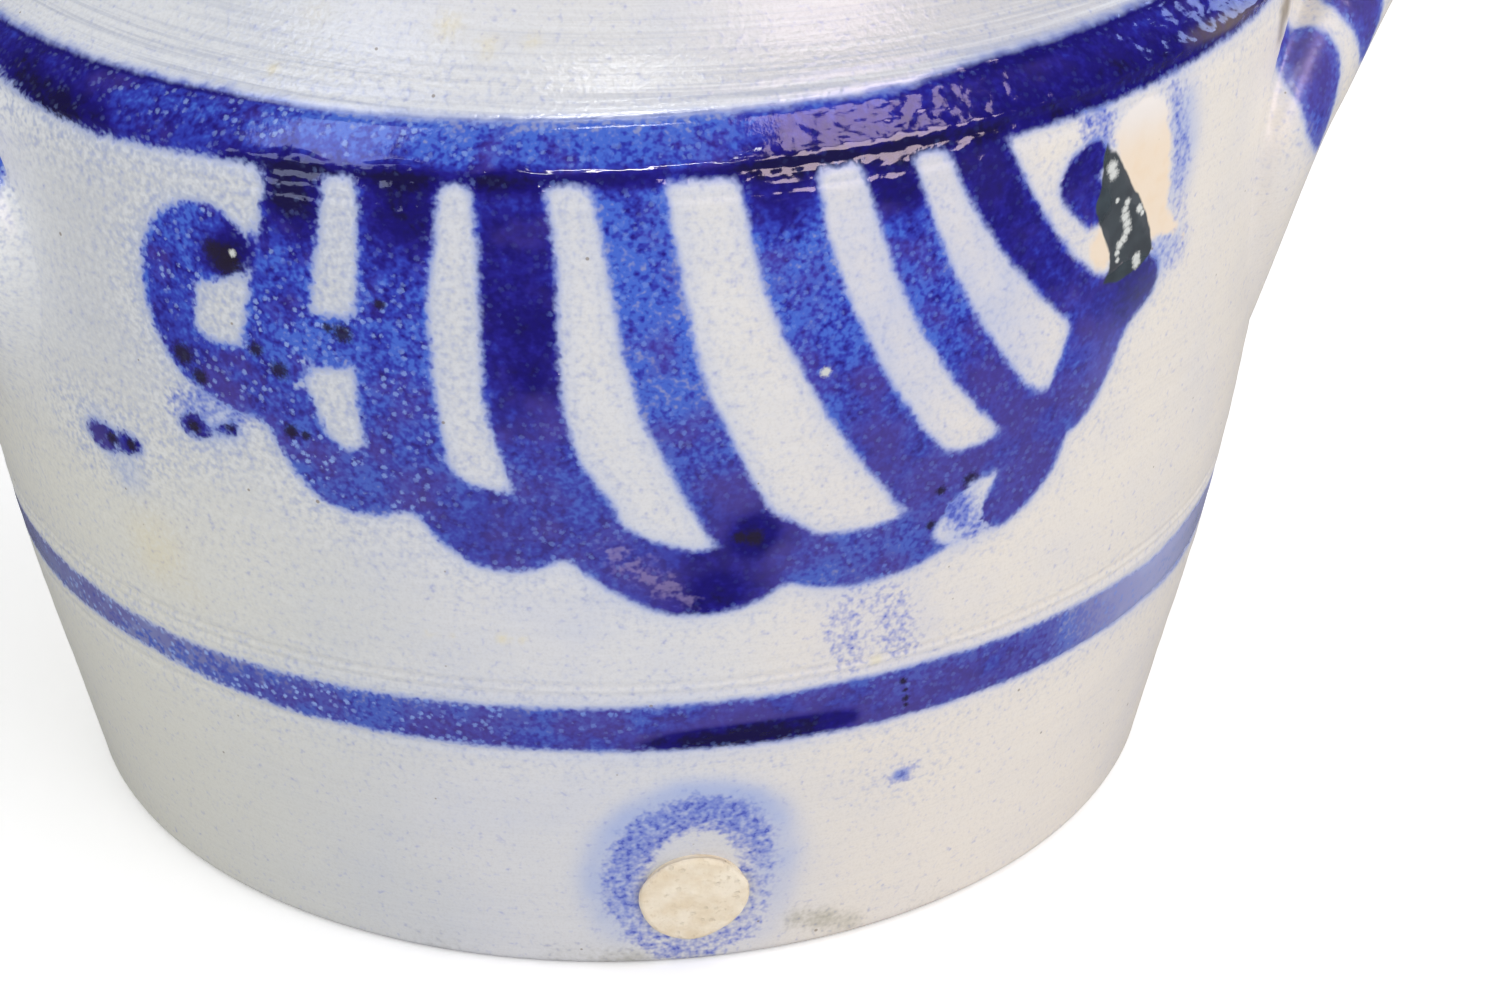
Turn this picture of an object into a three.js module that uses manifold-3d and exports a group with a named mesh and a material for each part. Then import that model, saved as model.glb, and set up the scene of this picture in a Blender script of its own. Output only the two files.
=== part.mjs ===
// Two-handled salt-glazed stoneware pot with a stopped tap hole near its foot.
// Millimetres, +Z up. The origin is the middle of the base, on the surface that the pot stands on.
// The handles point along +X and -X, and the tap hole looks along -Y.

import * as THREE from "three";
import { mergeVertices } from "three/addons/utils/BufferGeometryUtils.js";
import Module from "manifold-3d";

const wasm = await Module();
wasm.setup();

// Driving dimensions of the thrown pot
const BASE_RADIUS = 124.8;
const FOOT_ROUND = 3;
const WIDEST_RADIUS = 151;
const WIDEST_HEIGHT = 182;
const LOWER_BAND_INSET = 11.4;
const LOWER_BAND_HEIGHT = 68;
const BELLY_INSET = 3.4;
const BELLY_HEIGHT = 129;
const SHOULDER_EDGE_INSET = 1.2;
const SHOULDER_EDGE_HEIGHT = 192;
const UPPER_GROOVE_INSET = 7.6;
const UPPER_GROOVE_HEIGHT = 199;
const SHOULDER_INSET = 19;
const SHOULDER_HEIGHT = 208.5;
const NECK_FOOT_INSET = 31;
const NECK_FOOT_HEIGHT = 223;
const NECK_INSET = 33.5;
const NECK_HEIGHT = 240;
const RIM_OVERHANG = 9;
const RIM_HALF_HEIGHT = 9.5;
const POT_HEIGHT = 272;
const WALL_THICKNESS = 9;
const FLOOR_THICKNESS = 9;
const FLOOR_FILLET = 14;
const MOUTH_ROUND = 3;

// The pot sagged a little in the kiln: its shoulder and handles tip, with the +X side higher
const SAG_SLOPE = 0.032;
const SAG_START_HEIGHT = 80;
const SAG_FULL_HEIGHT = 185;
const SAG_FADE_HEIGHT = 212;
const SAG_END_HEIGHT = 250;

// Lines turned into the wet wall, as [height, depth]
const TURNED_LINE_WIDTH = 1.7;
const TURNED_LINES = [
  [LOWER_BAND_HEIGHT - 7.3, 0.35],
  [LOWER_BAND_HEIGHT + 8, 0.4],
  [LOWER_BAND_HEIGHT + 10.4, 0.3],
  [SHOULDER_EDGE_HEIGHT - 6.4, 0.35],
  [SHOULDER_EDGE_HEIGHT - 2.6, 0.5],
  [UPPER_GROOVE_HEIGHT, 0.7],
  [UPPER_GROOVE_HEIGHT + 2.3, 0.45],
  [SHOULDER_HEIGHT, 0.35],
];

// Bead on the shoulder's edge
const BEAD_RISE = 0.7;
const BEAD_WIDTH = 3;

// Driving dimensions of the tap hole and its stopper
const TAP_HEIGHT = 20;
const TAP_OUTER_RADIUS = 11.4;
const TAP_TAPER = 0.09;
const TAP_DISH_WIDTH = 30;
const TAP_DISH_DEPTH = 1.1;
const TAP_DISH_LIFT = 5.5;
const STOPPER_CLEARANCE = 0.3;
const STOPPER_PROUD = 1.4;
const STOPPER_INNER_REACH = 4;
const STOPPER_END_ROUND = 1.2;

// Driving dimensions of each handle: a pulled roll of clay, bent to an ear and luted to the wall,
// with both its roots pressed flat and smeared down to a tail
const ROLL_HALF_WIDTH = 10.4;
const ROLL_HALF_THICKNESS = 9;
const CROWN_HEIGHT = 213;
const CROWN_REACH = 33;
const ARM_ANGLE = 11;
const ARM_HEIGHT = 199;
const ARM_REACH = 23;
const LEAVING_ANGLE = 19;
const LEAVING_HEIGHT = 177;
const LEAVING_REACH = 9.5;
const LEAVING_HALF_WIDTH = 14;
const LEAVING_HUG = 0.7;
const ROOT_ANGLE = 25.5;
const ROOT_HEIGHT = 155;
const ROOT_REACH = 0.5;
const ROOT_HALF_WIDTH = 21;
const TAIL_ANGLE = 22;
const TAIL_HEIGHT = 109;
const TAIL_HALF_WIDTH = 9;
const LUTING_GAP = 0.3;

// Facet counts
const TURNS = 56;
const HANDLE_RINGS = 40;
const HANDLE_SIDES = 16;
const TAP_SIDES = 36;
const DISH_TURNS = 96;
const DISH_RINGS = 72;
const OUTER_STEPS = 3;
const INNER_STEPS = 2;
const ARC_STEPS = 4;
const RIM_STEPS = 7;
const LEAST_SPAN = 0.35;

const DEGREE = Math.PI / 180;

// Stations of the outer wall from the foot to the underside of the rim, as [height, radius]
const NECK_RADIUS = WIDEST_RADIUS - NECK_INSET;
const RIM_CENTRE_HEIGHT = POT_HEIGHT - RIM_HALF_HEIGHT;
const RIM_FOOT_HEIGHT = RIM_CENTRE_HEIGHT - RIM_HALF_HEIGHT;
const WALL_STATIONS = [
  [0, BASE_RADIUS],
  [LOWER_BAND_HEIGHT, WIDEST_RADIUS - LOWER_BAND_INSET],
  [BELLY_HEIGHT, WIDEST_RADIUS - BELLY_INSET],
  [WIDEST_HEIGHT, WIDEST_RADIUS],
  [SHOULDER_EDGE_HEIGHT, WIDEST_RADIUS - SHOULDER_EDGE_INSET],
  [UPPER_GROOVE_HEIGHT, WIDEST_RADIUS - UPPER_GROOVE_INSET],
  [SHOULDER_HEIGHT, WIDEST_RADIUS - SHOULDER_INSET],
  [NECK_FOOT_HEIGHT, WIDEST_RADIUS - NECK_FOOT_INSET],
  [NECK_HEIGHT, NECK_RADIUS],
  [RIM_FOOT_HEIGHT, NECK_RADIUS],
];

// Slope of the wall at a station: the mean of the slopes to its two neighbours
function stationSlope(index) {
  const before = WALL_STATIONS[Math.max(index - 1, 0)];
  const after = WALL_STATIONS[Math.min(index + 1, WALL_STATIONS.length - 1)];
  return (after[1] - before[1]) / (after[0] - before[0]);
}

// Radius of the smooth outer wall at a height, by a cubic curve through the stations
function wallRadius(height) {
  const last = WALL_STATIONS.length - 1;
  if (height >= WALL_STATIONS[last][0]) return WALL_STATIONS[last][1];
  if (height <= 0) return BASE_RADIUS;
  const index = WALL_STATIONS.findIndex((station) => station[0] > height) - 1;
  const [lowHeight, lowRadius] = WALL_STATIONS[index];
  const [highHeight, highRadius] = WALL_STATIONS[index + 1];
  const span = highHeight - lowHeight;
  const t = (height - lowHeight) / span;
  const lowShare = (1 + 2 * t) * (1 - t) ** 2;
  const highShare = t * t * (3 - 2 * t);
  const lowPull = t * (1 - t) ** 2 * span * stationSlope(index);
  const highPull = t * t * (t - 1) * span * stationSlope(index + 1);
  return lowShare * lowRadius + highShare * highRadius + lowPull + highPull;
}

// Radius of a surface that keeps a set distance from the outer wall: negative is inside it
function offsetRadius(height, distance) {
  const ballSteps = 8;
  const side = Math.sign(distance);
  let furthest = -Infinity;
  for (let i = -ballSteps; i <= ballSteps; i++) {
    const along = (distance * i) / ballSteps;
    const reach = Math.sqrt(distance ** 2 - along ** 2);
    furthest = Math.max(furthest, side * wallRadius(height + along) + reach);
  }
  return side * furthest;
}

// Height added to or cut from the smooth wall by the bead and the turned lines
function turnedRelief(height) {
  const beadShare = Math.max(0, 1 - Math.abs(height - SHOULDER_EDGE_HEIGHT) / (BEAD_WIDTH / 2));
  let relief = BEAD_RISE * beadShare;
  for (const [lineHeight, depth] of TURNED_LINES) {
    const share = Math.max(0, 1 - Math.abs(height - lineHeight) / (TURNED_LINE_WIDTH / 2));
    relief -= depth * share;
  }
  return relief;
}

// Heights at which the outer profile has a point
function outerHeights() {
  const marks = [FOOT_ROUND, ...WALL_STATIONS.slice(1).map((station) => station[0])];
  const heights = new Set();
  for (let i = 0; i + 1 < marks.length; i++) {
    for (let k = 0; k <= OUTER_STEPS; k++) {
      heights.add(marks[i] + ((marks[i + 1] - marks[i]) * k) / OUTER_STEPS);
    }
  }
  for (const [lineHeight] of TURNED_LINES) {
    for (const side of [-0.5, 0, 0.5]) heights.add(lineHeight + side * TURNED_LINE_WIDTH);
  }
  for (const side of [-0.5, 0, 0.5]) heights.add(SHOULDER_EDGE_HEIGHT + side * BEAD_WIDTH);
  const sorted = [...heights].sort((a, b) => a - b);
  return sorted.filter((height, i) => i === 0 || height - sorted[i - 1] > LEAST_SPAN);
}

// Outline of the pot's half section, from the middle of the base round the rim to the middle of the floor
function potProfile() {
  const points = [new THREE.Vector2(0, 0)];
  for (let i = 0; i < ARC_STEPS; i++) {
    const turn = (i / ARC_STEPS) * 90 * DEGREE;
    const radius = wallRadius(FOOT_ROUND) - FOOT_ROUND * (1 - Math.sin(turn));
    points.push(new THREE.Vector2(radius, FOOT_ROUND * (1 - Math.cos(turn))));
  }
  for (const height of outerHeights()) {
    points.push(new THREE.Vector2(wallRadius(height) + turnedRelief(height), height));
  }
  for (let i = 1; i <= RIM_STEPS; i++) {
    const turn = (-90 + (i / RIM_STEPS) * 180) * DEGREE;
    const radius = NECK_RADIUS + RIM_OVERHANG * Math.cos(turn);
    points.push(new THREE.Vector2(radius, RIM_CENTRE_HEIGHT + RIM_HALF_HEIGHT * Math.sin(turn)));
  }
  const mouthRadius = NECK_RADIUS - WALL_THICKNESS;
  for (let i = 0; i <= ARC_STEPS; i++) {
    const turn = (i / ARC_STEPS) * 90 * DEGREE;
    const radius = mouthRadius + MOUTH_ROUND * (1 - Math.sin(turn));
    points.push(new THREE.Vector2(radius, POT_HEIGHT - MOUTH_ROUND * (1 - Math.cos(turn))));
  }
  const lowestInner = FLOOR_THICKNESS + FLOOR_FILLET;
  const innerHeights = WALL_STATIONS.map((station) => station[0])
    .filter((height) => height > lowestInner)
    .reverse();
  innerHeights.push(lowestInner);
  for (let i = 0; i + 1 < innerHeights.length; i++) {
    for (let k = 0; k < INNER_STEPS; k++) {
      const height = innerHeights[i] + ((innerHeights[i + 1] - innerHeights[i]) * k) / INNER_STEPS;
      points.push(new THREE.Vector2(offsetRadius(height, -WALL_THICKNESS), height));
    }
  }
  const filletRadius = offsetRadius(lowestInner, -WALL_THICKNESS) - FLOOR_FILLET;
  for (let i = 0; i <= ARC_STEPS; i++) {
    const turn = (i / ARC_STEPS) * 90 * DEGREE;
    const radius = filletRadius + FLOOR_FILLET * Math.cos(turn);
    points.push(new THREE.Vector2(radius, lowestInner - FLOOR_FILLET * Math.sin(turn)));
  }
  points.push(new THREE.Vector2(0, FLOOR_THICKNESS));
  return points;
}

// Share of the sag at a height: none at the foot, all of it round the shoulder, none at the rim
function sagShare(height) {
  const rise = THREE.MathUtils.smoothstep(height, SAG_START_HEIGHT, SAG_FULL_HEIGHT);
  const fall = THREE.MathUtils.smoothstep(height, SAG_FADE_HEIGHT, SAG_END_HEIGHT);
  return rise * (1 - fall);
}

// Tips a geometry as the kiln did
function sagged(geometry) {
  const position = geometry.getAttribute("position");
  for (let i = 0; i < position.count; i++) {
    const height = position.getZ(i);
    position.setZ(i, height + SAG_SLOPE * position.getX(i) * sagShare(height));
  }
  return geometry;
}

// Revolves a half section about the Z axis
function thrown(profile) {
  return sagged(new THREE.LatheGeometry(profile, TURNS).rotateX(90 * DEGREE));
}

// Closed three.js geometry to a solid for cutting and joining
function solid(geometry) {
  const bare = geometry.clone();
  bare.deleteAttribute("normal");
  bare.deleteAttribute("uv");
  const merged = mergeVertices(bare, 1e-4);
  return new wasm.Manifold(
    new wasm.Mesh({
      numProp: 3,
      vertProperties: new Float32Array(merged.getAttribute("position").array),
      triVerts: new Uint32Array(merged.index.array),
    }),
  );
}

// Solid back to a three.js geometry
function geometryOf(body) {
  const mesh = body.getMesh();
  const geometry = new THREE.BufferGeometry();
  geometry.setAttribute("position", new THREE.BufferAttribute(mesh.vertProperties, 3));
  geometry.setIndex(new THREE.BufferAttribute(mesh.triVerts, 1));
  geometry.computeVertexNormals();
  return geometry;
}

// Full form of the pot with no hollow, swelled by a set distance
function wallForm(distance) {
  const points = [new THREE.Vector2(0, -distance)];
  points.push(new THREE.Vector2(BASE_RADIUS, -distance));
  for (const height of outerHeights()) {
    points.push(new THREE.Vector2(offsetRadius(height, distance), height));
  }
  points.push(new THREE.Vector2(0, RIM_FOOT_HEIGHT));
  return solid(thrown(points));
}

// Place on or off the wall, by degrees round from +X, height and reach beyond the wall's surface
function offWall(angle, height, reach) {
  const radius = wallRadius(Math.min(height, WIDEST_HEIGHT)) + reach;
  const turn = angle * DEGREE;
  return new THREE.Vector3(radius * Math.cos(turn), radius * Math.sin(turn), height);
}

// Curves from one tail of the +X handle over its crown to the other tail: the centre line, and beside
// it the sections as [half width, half thickness, how closely the section lies to the wall, 0 to 1]
function handleCurves() {
  const halfWay = [
    [TAIL_ANGLE, TAIL_HEIGHT, -ROLL_HALF_THICKNESS, TAIL_HALF_WIDTH, 1],
    [ROOT_ANGLE, ROOT_HEIGHT, ROOT_REACH, ROOT_HALF_WIDTH, 1],
    [LEAVING_ANGLE, LEAVING_HEIGHT, LEAVING_REACH, LEAVING_HALF_WIDTH, LEAVING_HUG],
    [ARM_ANGLE, ARM_HEIGHT, ARM_REACH, ROLL_HALF_WIDTH, 0],
  ];
  const crown = [0, CROWN_HEIGHT, CROWN_REACH, ROLL_HALF_WIDTH, 0];
  const mirrored = halfWay.map(([angle, ...rest]) => [-angle, ...rest]).reverse();
  const line = [];
  const sections = [];
  for (const [angle, height, reach, halfWidth, hug] of [...halfWay, crown, ...mirrored]) {
    line.push(offWall(angle, height, reach));
    sections.push(new THREE.Vector3(halfWidth, ROLL_HALF_THICKNESS, hug));
  }
  return [new THREE.CatmullRomCurve3(line), new THREE.CatmullRomCurve3(sections)];
}

// Closed loft of oval sections along the ear
function handleRoll() {
  const [line, sections] = handleCurves();
  const rise = offWall(0, CROWN_HEIGHT, CROWN_REACH).sub(offWall(0, LEAVING_HEIGHT, LEAVING_REACH));
  const earFace = new THREE.Vector3(rise.z, 0, -rise.x).normalize();
  const positions = [];
  const indices = [];
  for (let ring = 0; ring <= HANDLE_RINGS; ring++) {
    const centre = line.getPoint(ring / HANDLE_RINGS);
    const forward = line.getTangent(ring / HANDLE_RINGS);
    const { x: halfWidth, y: halfThickness, z: hug } = sections.getPoint(ring / HANDLE_RINGS);
    const wallFace = centre.clone().setZ(0).normalize();
    const thickness = earFace.clone().lerp(wallFace, hug);
    thickness.addScaledVector(forward, -thickness.dot(forward)).normalize();
    const width = new THREE.Vector3().crossVectors(forward, thickness);
    for (let side = 0; side < HANDLE_SIDES; side++) {
      const turn = (side / HANDLE_SIDES) * 360 * DEGREE;
      const point = centre
        .clone()
        .addScaledVector(thickness, halfThickness * Math.sin(turn))
        .addScaledVector(width, halfWidth * Math.cos(turn));
      positions.push(point.x, point.y, point.z);
    }
  }
  for (let ring = 0; ring < HANDLE_RINGS; ring++) {
    for (let side = 0; side < HANDLE_SIDES; side++) {
      const next = (side + 1) % HANDLE_SIDES;
      const a = ring * HANDLE_SIDES + side;
      const b = ring * HANDLE_SIDES + next;
      const c = a + HANDLE_SIDES;
      const d = b + HANDLE_SIDES;
      indices.push(a, d, b, a, c, d);
    }
  }
  const endRing = HANDLE_RINGS * HANDLE_SIDES;
  for (let side = 1; side + 1 < HANDLE_SIDES; side++) {
    indices.push(0, side, side + 1);
    indices.push(endRing, endRing + side + 1, endRing + side);
  }
  const geometry = new THREE.BufferGeometry();
  geometry.setAttribute("position", new THREE.Float32BufferAttribute(positions, 3));
  geometry.setIndex(indices);
  return geometry;
}

// One handle, turned about the Z axis, cut to the wall with the luting slip's thickness left free
function handle(turn, seat) {
  const roll = sagged(handleRoll().rotateZ(turn * DEGREE));
  return solid(roll).subtract(seat);
}

// Tapered round form along the tap hole's axis, narrowing inwards, slimmer than the hole by a clearance
function tapForm(clearance, outerReach, innerReach, endRound) {
  const wall = wallRadius(TAP_HEIGHT);
  const radiusAt = (reach) => TAP_OUTER_RADIUS + TAP_TAPER * reach - clearance;
  const points = [
    new THREE.Vector2(0, -innerReach),
    new THREE.Vector2(radiusAt(-innerReach) - endRound, -innerReach),
    new THREE.Vector2(radiusAt(-innerReach + endRound), -innerReach + endRound),
    new THREE.Vector2(radiusAt(outerReach), outerReach),
    new THREE.Vector2(0, outerReach),
  ];
  const form = new THREE.LatheGeometry(points, TAP_SIDES).rotateX(180 * DEGREE);
  return solid(form.translate(0, -wall, TAP_HEIGHT));
}

// Ball that cuts the shallow dish wiped round the tap hole
function tapDish() {
  const halfWidth = TAP_DISH_WIDTH / 2;
  const ballRadius = (halfWidth ** 2 + TAP_DISH_DEPTH ** 2) / (2 * TAP_DISH_DEPTH);
  const height = TAP_HEIGHT + TAP_DISH_LIFT;
  const rise = (wallRadius(height + LEAST_SPAN) - wallRadius(height - LEAST_SPAN)) / (2 * LEAST_SPAN);
  const away = new THREE.Vector3(0, -1, -rise).normalize();
  const centre = new THREE.Vector3(0, -wallRadius(height), height);
  centre.addScaledVector(away, ballRadius - TAP_DISH_DEPTH);
  const ball = new THREE.SphereGeometry(ballRadius, DISH_TURNS, DISH_RINGS);
  return solid(ball.translate(centre.x, centre.y, centre.z));
}

// How far along the tap hole's axis each cut and the stopper reach from the wall's outer surface
const cutReach = 2 * WALL_THICKNESS;
const wallAcross = wallRadius(TAP_HEIGHT) - offsetRadius(TAP_HEIGHT, -WALL_THICKNESS);
const stopperReach = wallAcross + STOPPER_INNER_REACH;

const potBody = solid(thrown(potProfile()))
  .subtract(tapForm(0, cutReach, cutReach, 0))
  .subtract(tapDish());
const stopper = tapForm(STOPPER_CLEARANCE, cutReach, stopperReach, STOPPER_END_ROUND).intersect(
  wallForm(STOPPER_PROUD),
);
const handleSeat = wallForm(LUTING_GAP);

const saltGlaze = { color: 0xb9bcc4, roughness: 0.35, metalness: 0 };
const bareClay = { color: 0xe2d8c2, roughness: 0.9, metalness: 0 };

// Named mesh with a material of its own
function piece(name, body, finish) {
  const mesh = new THREE.Mesh(geometryOf(body), new THREE.MeshStandardMaterial(finish));
  mesh.name = name;
  return mesh;
}

const pot = new THREE.Group();
pot.add(piece("pot_body", potBody, saltGlaze));
pot.add(piece("handle_right", handle(0, handleSeat), saltGlaze));
pot.add(piece("handle_left", handle(180, handleSeat), saltGlaze));
pot.add(piece("tap_stopper", stopper, bareClay));

export default pot;
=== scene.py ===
import math

import bpy
import numpy as np
from mathutils import Matrix, Vector, noise


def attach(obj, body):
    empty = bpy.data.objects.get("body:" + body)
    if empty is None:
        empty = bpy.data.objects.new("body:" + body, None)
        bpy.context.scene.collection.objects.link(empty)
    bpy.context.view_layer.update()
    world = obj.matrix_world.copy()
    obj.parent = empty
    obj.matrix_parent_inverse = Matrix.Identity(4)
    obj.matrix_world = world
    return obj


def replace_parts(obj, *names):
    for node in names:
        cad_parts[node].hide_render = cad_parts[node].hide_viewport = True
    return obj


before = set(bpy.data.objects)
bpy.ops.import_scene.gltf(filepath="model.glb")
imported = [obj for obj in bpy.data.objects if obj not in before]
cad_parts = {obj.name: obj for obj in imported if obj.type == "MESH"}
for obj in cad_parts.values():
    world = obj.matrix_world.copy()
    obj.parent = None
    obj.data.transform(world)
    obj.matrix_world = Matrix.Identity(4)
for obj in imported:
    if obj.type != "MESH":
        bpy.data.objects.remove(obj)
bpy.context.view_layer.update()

# The camera stands in front of the pot and a little to its left, above the rim, and looks down at
# the painted belly through a long lens. All its places are in the pot's own frame.
MM = 0.001
CAMERA_PLACE = Vector((-78.5, -710.9, 423.2)) * MM
CAMERA_TILT_DOWN = 27.86
CAMERA_TURN_RIGHT = 8.80
CAMERA_ROLL = 0.11
LENS_LENGTH = 81.6
SENSOR_WIDTH = 36.0

lens = bpy.data.cameras.new("camera")
lens.sensor_width = SENSOR_WIDTH
lens.lens = LENS_LENGTH
camera = bpy.data.objects.new("camera", lens)
camera.matrix_world = (
    Matrix.Translation(CAMERA_PLACE)
    @ Matrix.Rotation(math.radians(-CAMERA_TURN_RIGHT), 4, "Z")
    @ Matrix.Rotation(math.radians(90 - CAMERA_TILT_DOWN), 4, "X")
    @ Matrix.Rotation(math.radians(CAMERA_ROLL), 4, "Z")
)
bpy.context.scene.collection.objects.link(camera)
bpy.context.scene.camera = camera
bpy.context.scene.view_settings.view_transform = "Standard"

# The floor is one plain square of white paper that keeps the pot's shadow. It glows a little to the
# camera, so that it melts into the room, and is dim where the glaze mirrors it.
FLOOR_HALF_WIDTH = 3.0
FLOOR_GLOW = 0.2


class Number:
    """A number that varies over a surface or a mesh: a sum on it adds Math nodes to its tree."""

    def __init__(self, nodes, socket):
        self.nodes = nodes
        self.socket = socket

    def maths(self, operation, first, second=0.0):
        return self.nodes.number("ShaderNodeMath", {"operation": operation}, {0: first, 1: second})

    def __add__(self, other):
        return self.maths("ADD", self, other)

    def __sub__(self, other):
        return self.maths("SUBTRACT", self, other)

    def __mul__(self, other):
        return self.maths("MULTIPLY", self, other)

    def __radd__(self, other):
        return self.maths("ADD", other, self)

    def __rsub__(self, other):
        return self.maths("SUBTRACT", other, self)

    def __rmul__(self, other):
        return self.maths("MULTIPLY", other, self)

    def most(self, other):
        return self.maths("MAXIMUM", self, other)

    def least(self, other):
        return self.maths("MINIMUM", self, other)

    def sine(self):
        return self.maths("SINE", self)

    def cosine(self):
        return self.maths("COSINE", self)

    def rounded(self):
        return self.maths("ROUND", self)

    def rise(self, low, high):
        """0 below low, 1 above high, and a smooth step between them."""
        settings = {"interpolation_type": "SMOOTHSTEP"}
        return self.nodes.number("ShaderNodeMapRange", settings, {0: self, 1: low, 2: high})


class Nodes:
    """A node tree, with the one method by which its nodes are added."""

    def __init__(self, tree):
        self.tree = tree
        tree.nodes.clear()

    def node(self, kind, settings, inputs):
        """A node of one kind with its settings, and with the values or links of its inputs."""
        node = self.tree.nodes.new(kind)
        for name, value in settings.items():
            setattr(node, name, value)
        for name, value in inputs.items():
            value = getattr(value, "socket", value)
            if isinstance(value, bpy.types.NodeSocket):
                self.tree.links.new(value, node.inputs[name])
            else:
                node.inputs[name].default_value = value
        return node

    def number(self, kind, settings, inputs, output=0):
        return Number(self, self.node(kind, settings, inputs).outputs[output])

    def parts(self, vector):
        """The three numbers of a vector."""
        node = self.node("ShaderNodeSeparateXYZ", {}, {0: vector})
        return [Number(self, socket) for socket in node.outputs]

    def ray(self, kind):
        """1 where what looks at the surface is one kind of ray, and 0 elsewhere."""
        return self.number("ShaderNodeLightPath", {}, {}, kind)


class Finish(Nodes):
    """One material, with the few ways in which its patterns and colours are made."""

    def __init__(self, name):
        self.material = bpy.data.materials.new(name)
        self.material.use_nodes = True
        super().__init__(self.material.node_tree)

    def attribute(self, name):
        return self.number("ShaderNodeAttribute", {"attribute_name": name}, {}, "Fac")

    def coordinates(self):
        return self.node("ShaderNodeTexCoord", {}, {}).outputs["Object"]

    def place(self, size, stretch=(1, 1, 1), shift=0.0):
        """Object coordinates, scaled so that one unit is a size in millimetres along each axis."""
        scale = [1 / (size * MM * along) for along in stretch]
        inputs = {"Vector": self.coordinates(), "Scale": scale, "Location": [shift] * 3}
        return self.node("ShaderNodeMapping", {}, inputs).outputs[0]

    def away_from(self, spot):
        """Distance in millimetres from a place in millimetres."""
        inputs = {0: self.coordinates(), 1: Vector(spot) * MM}
        distance = self.number("ShaderNodeVectorMath", {"operation": "DISTANCE"}, inputs, "Value")
        return distance * (1 / MM)

    def height_and_side(self):
        """Height and place along X in millimetres."""
        side, _, height = self.parts(self.coordinates())
        return height * (1 / MM), side * (1 / MM)

    def grain(self, size, detail=2.0, stretch=(1, 1, 1), shift=0.0):
        """Soft noise from 0 to 1 whose lumps are about a size in millimetres."""
        inputs = {"Vector": self.place(size, stretch, shift), "Scale": 1.0, "Detail": detail}
        return self.number("ShaderNodeTexNoise", {}, inputs)

    def cells(self, spacing, shift=0.0):
        """Distance to the nearest of many scattered points, and that point's own random number."""
        inputs = {"Vector": self.place(spacing, shift=shift), "Scale": 1.0}
        node = self.node("ShaderNodeTexVoronoi", {}, inputs)
        chance = self.number("ShaderNodeSeparateColor", {}, {0: node.outputs["Color"]})
        return Number(self, node.outputs["Distance"]), chance

    def mix(self, share, first, second):
        """From the first colour at 0 to the second at 1."""
        inputs = {0: share, 6: first, 7: second}
        return self.node("ShaderNodeMix", {"data_type": "RGBA"}, inputs).outputs[2]

    def layers(self, base, coats):
        """A base colour with others laid over it in turn, each given as (share, colour)."""
        for share, over in coats:
            base = self.mix(share, base, over)
        return base

    def bump(self, height, distance, strength, under=None):
        """Relief of a height times a distance in millimetres, over another one if that is given."""
        inputs = {"Height": height, "Distance": distance * MM, "Strength": strength}
        if under is not None:
            inputs["Normal"] = under
        return self.node("ShaderNodeBump", {}, inputs).outputs[0]

    def finish(self, kind, inputs):
        surface = self.node(kind, {}, inputs)
        self.node("ShaderNodeOutputMaterial", {}, {"Surface": surface.outputs[0]})
        return self.material


def colour(red, green, blue):
    """Linear colour from the 0 to 255 values that a screen shows."""
    values = [value / 255 for value in (red, green, blue)]
    return (*(v / 12.92 if v <= 0.04045 else ((v + 0.055) / 1.055) ** 2.4 for v in values), 1.0)


def new_object(name, points, faces=(), edges=()):
    mesh = bpy.data.meshes.new(name)
    mesh.from_pydata([tuple(p) for p in points], list(edges), [tuple(f) for f in faces])
    made = bpy.data.objects.new(name, mesh)
    bpy.context.scene.collection.objects.link(made)
    return made


FLOOR_SEEN = colour(255, 255, 255)
FLOOR_BOUNCE = colour(234, 235, 238)
FLOOR_MIRRORED = colour(110, 110, 112)

near, far = -FLOOR_HALF_WIDTH, FLOOR_HALF_WIDTH
corners = [(near, near, 0), (far, near, 0), (far, far, 0), (near, far, 0)]
floor = new_object("floor", corners, [range(4)])
paper = Finish("white_sheet")
looked_at = paper.ray("Is Camera Ray")
seen = paper.layers(FLOOR_BOUNCE, [(looked_at, FLOOR_SEEN), (paper.ray("Is Glossy Ray"), FLOOR_MIRRORED)])
white = paper.node("ShaderNodeBsdfDiffuse", {}, {"Color": seen})
lit = paper.node("ShaderNodeEmission", {}, {"Color": FLOOR_SEEN, "Strength": looked_at * FLOOR_GLOW})
added = {0: white.outputs[0], 1: lit.outputs[0]}
floor.data.materials.append(paper.finish("ShaderNodeAddShader", added))

# The room is white to the eye and dim in reflections. Tall windows at the left and right light the pot
# and are mirrored in the thick blue. A lamp over the camera and one overhead make the bead sparkle.
SKY_LIGHT = 0.78
SKY_MIRRORED = 0.10
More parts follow.
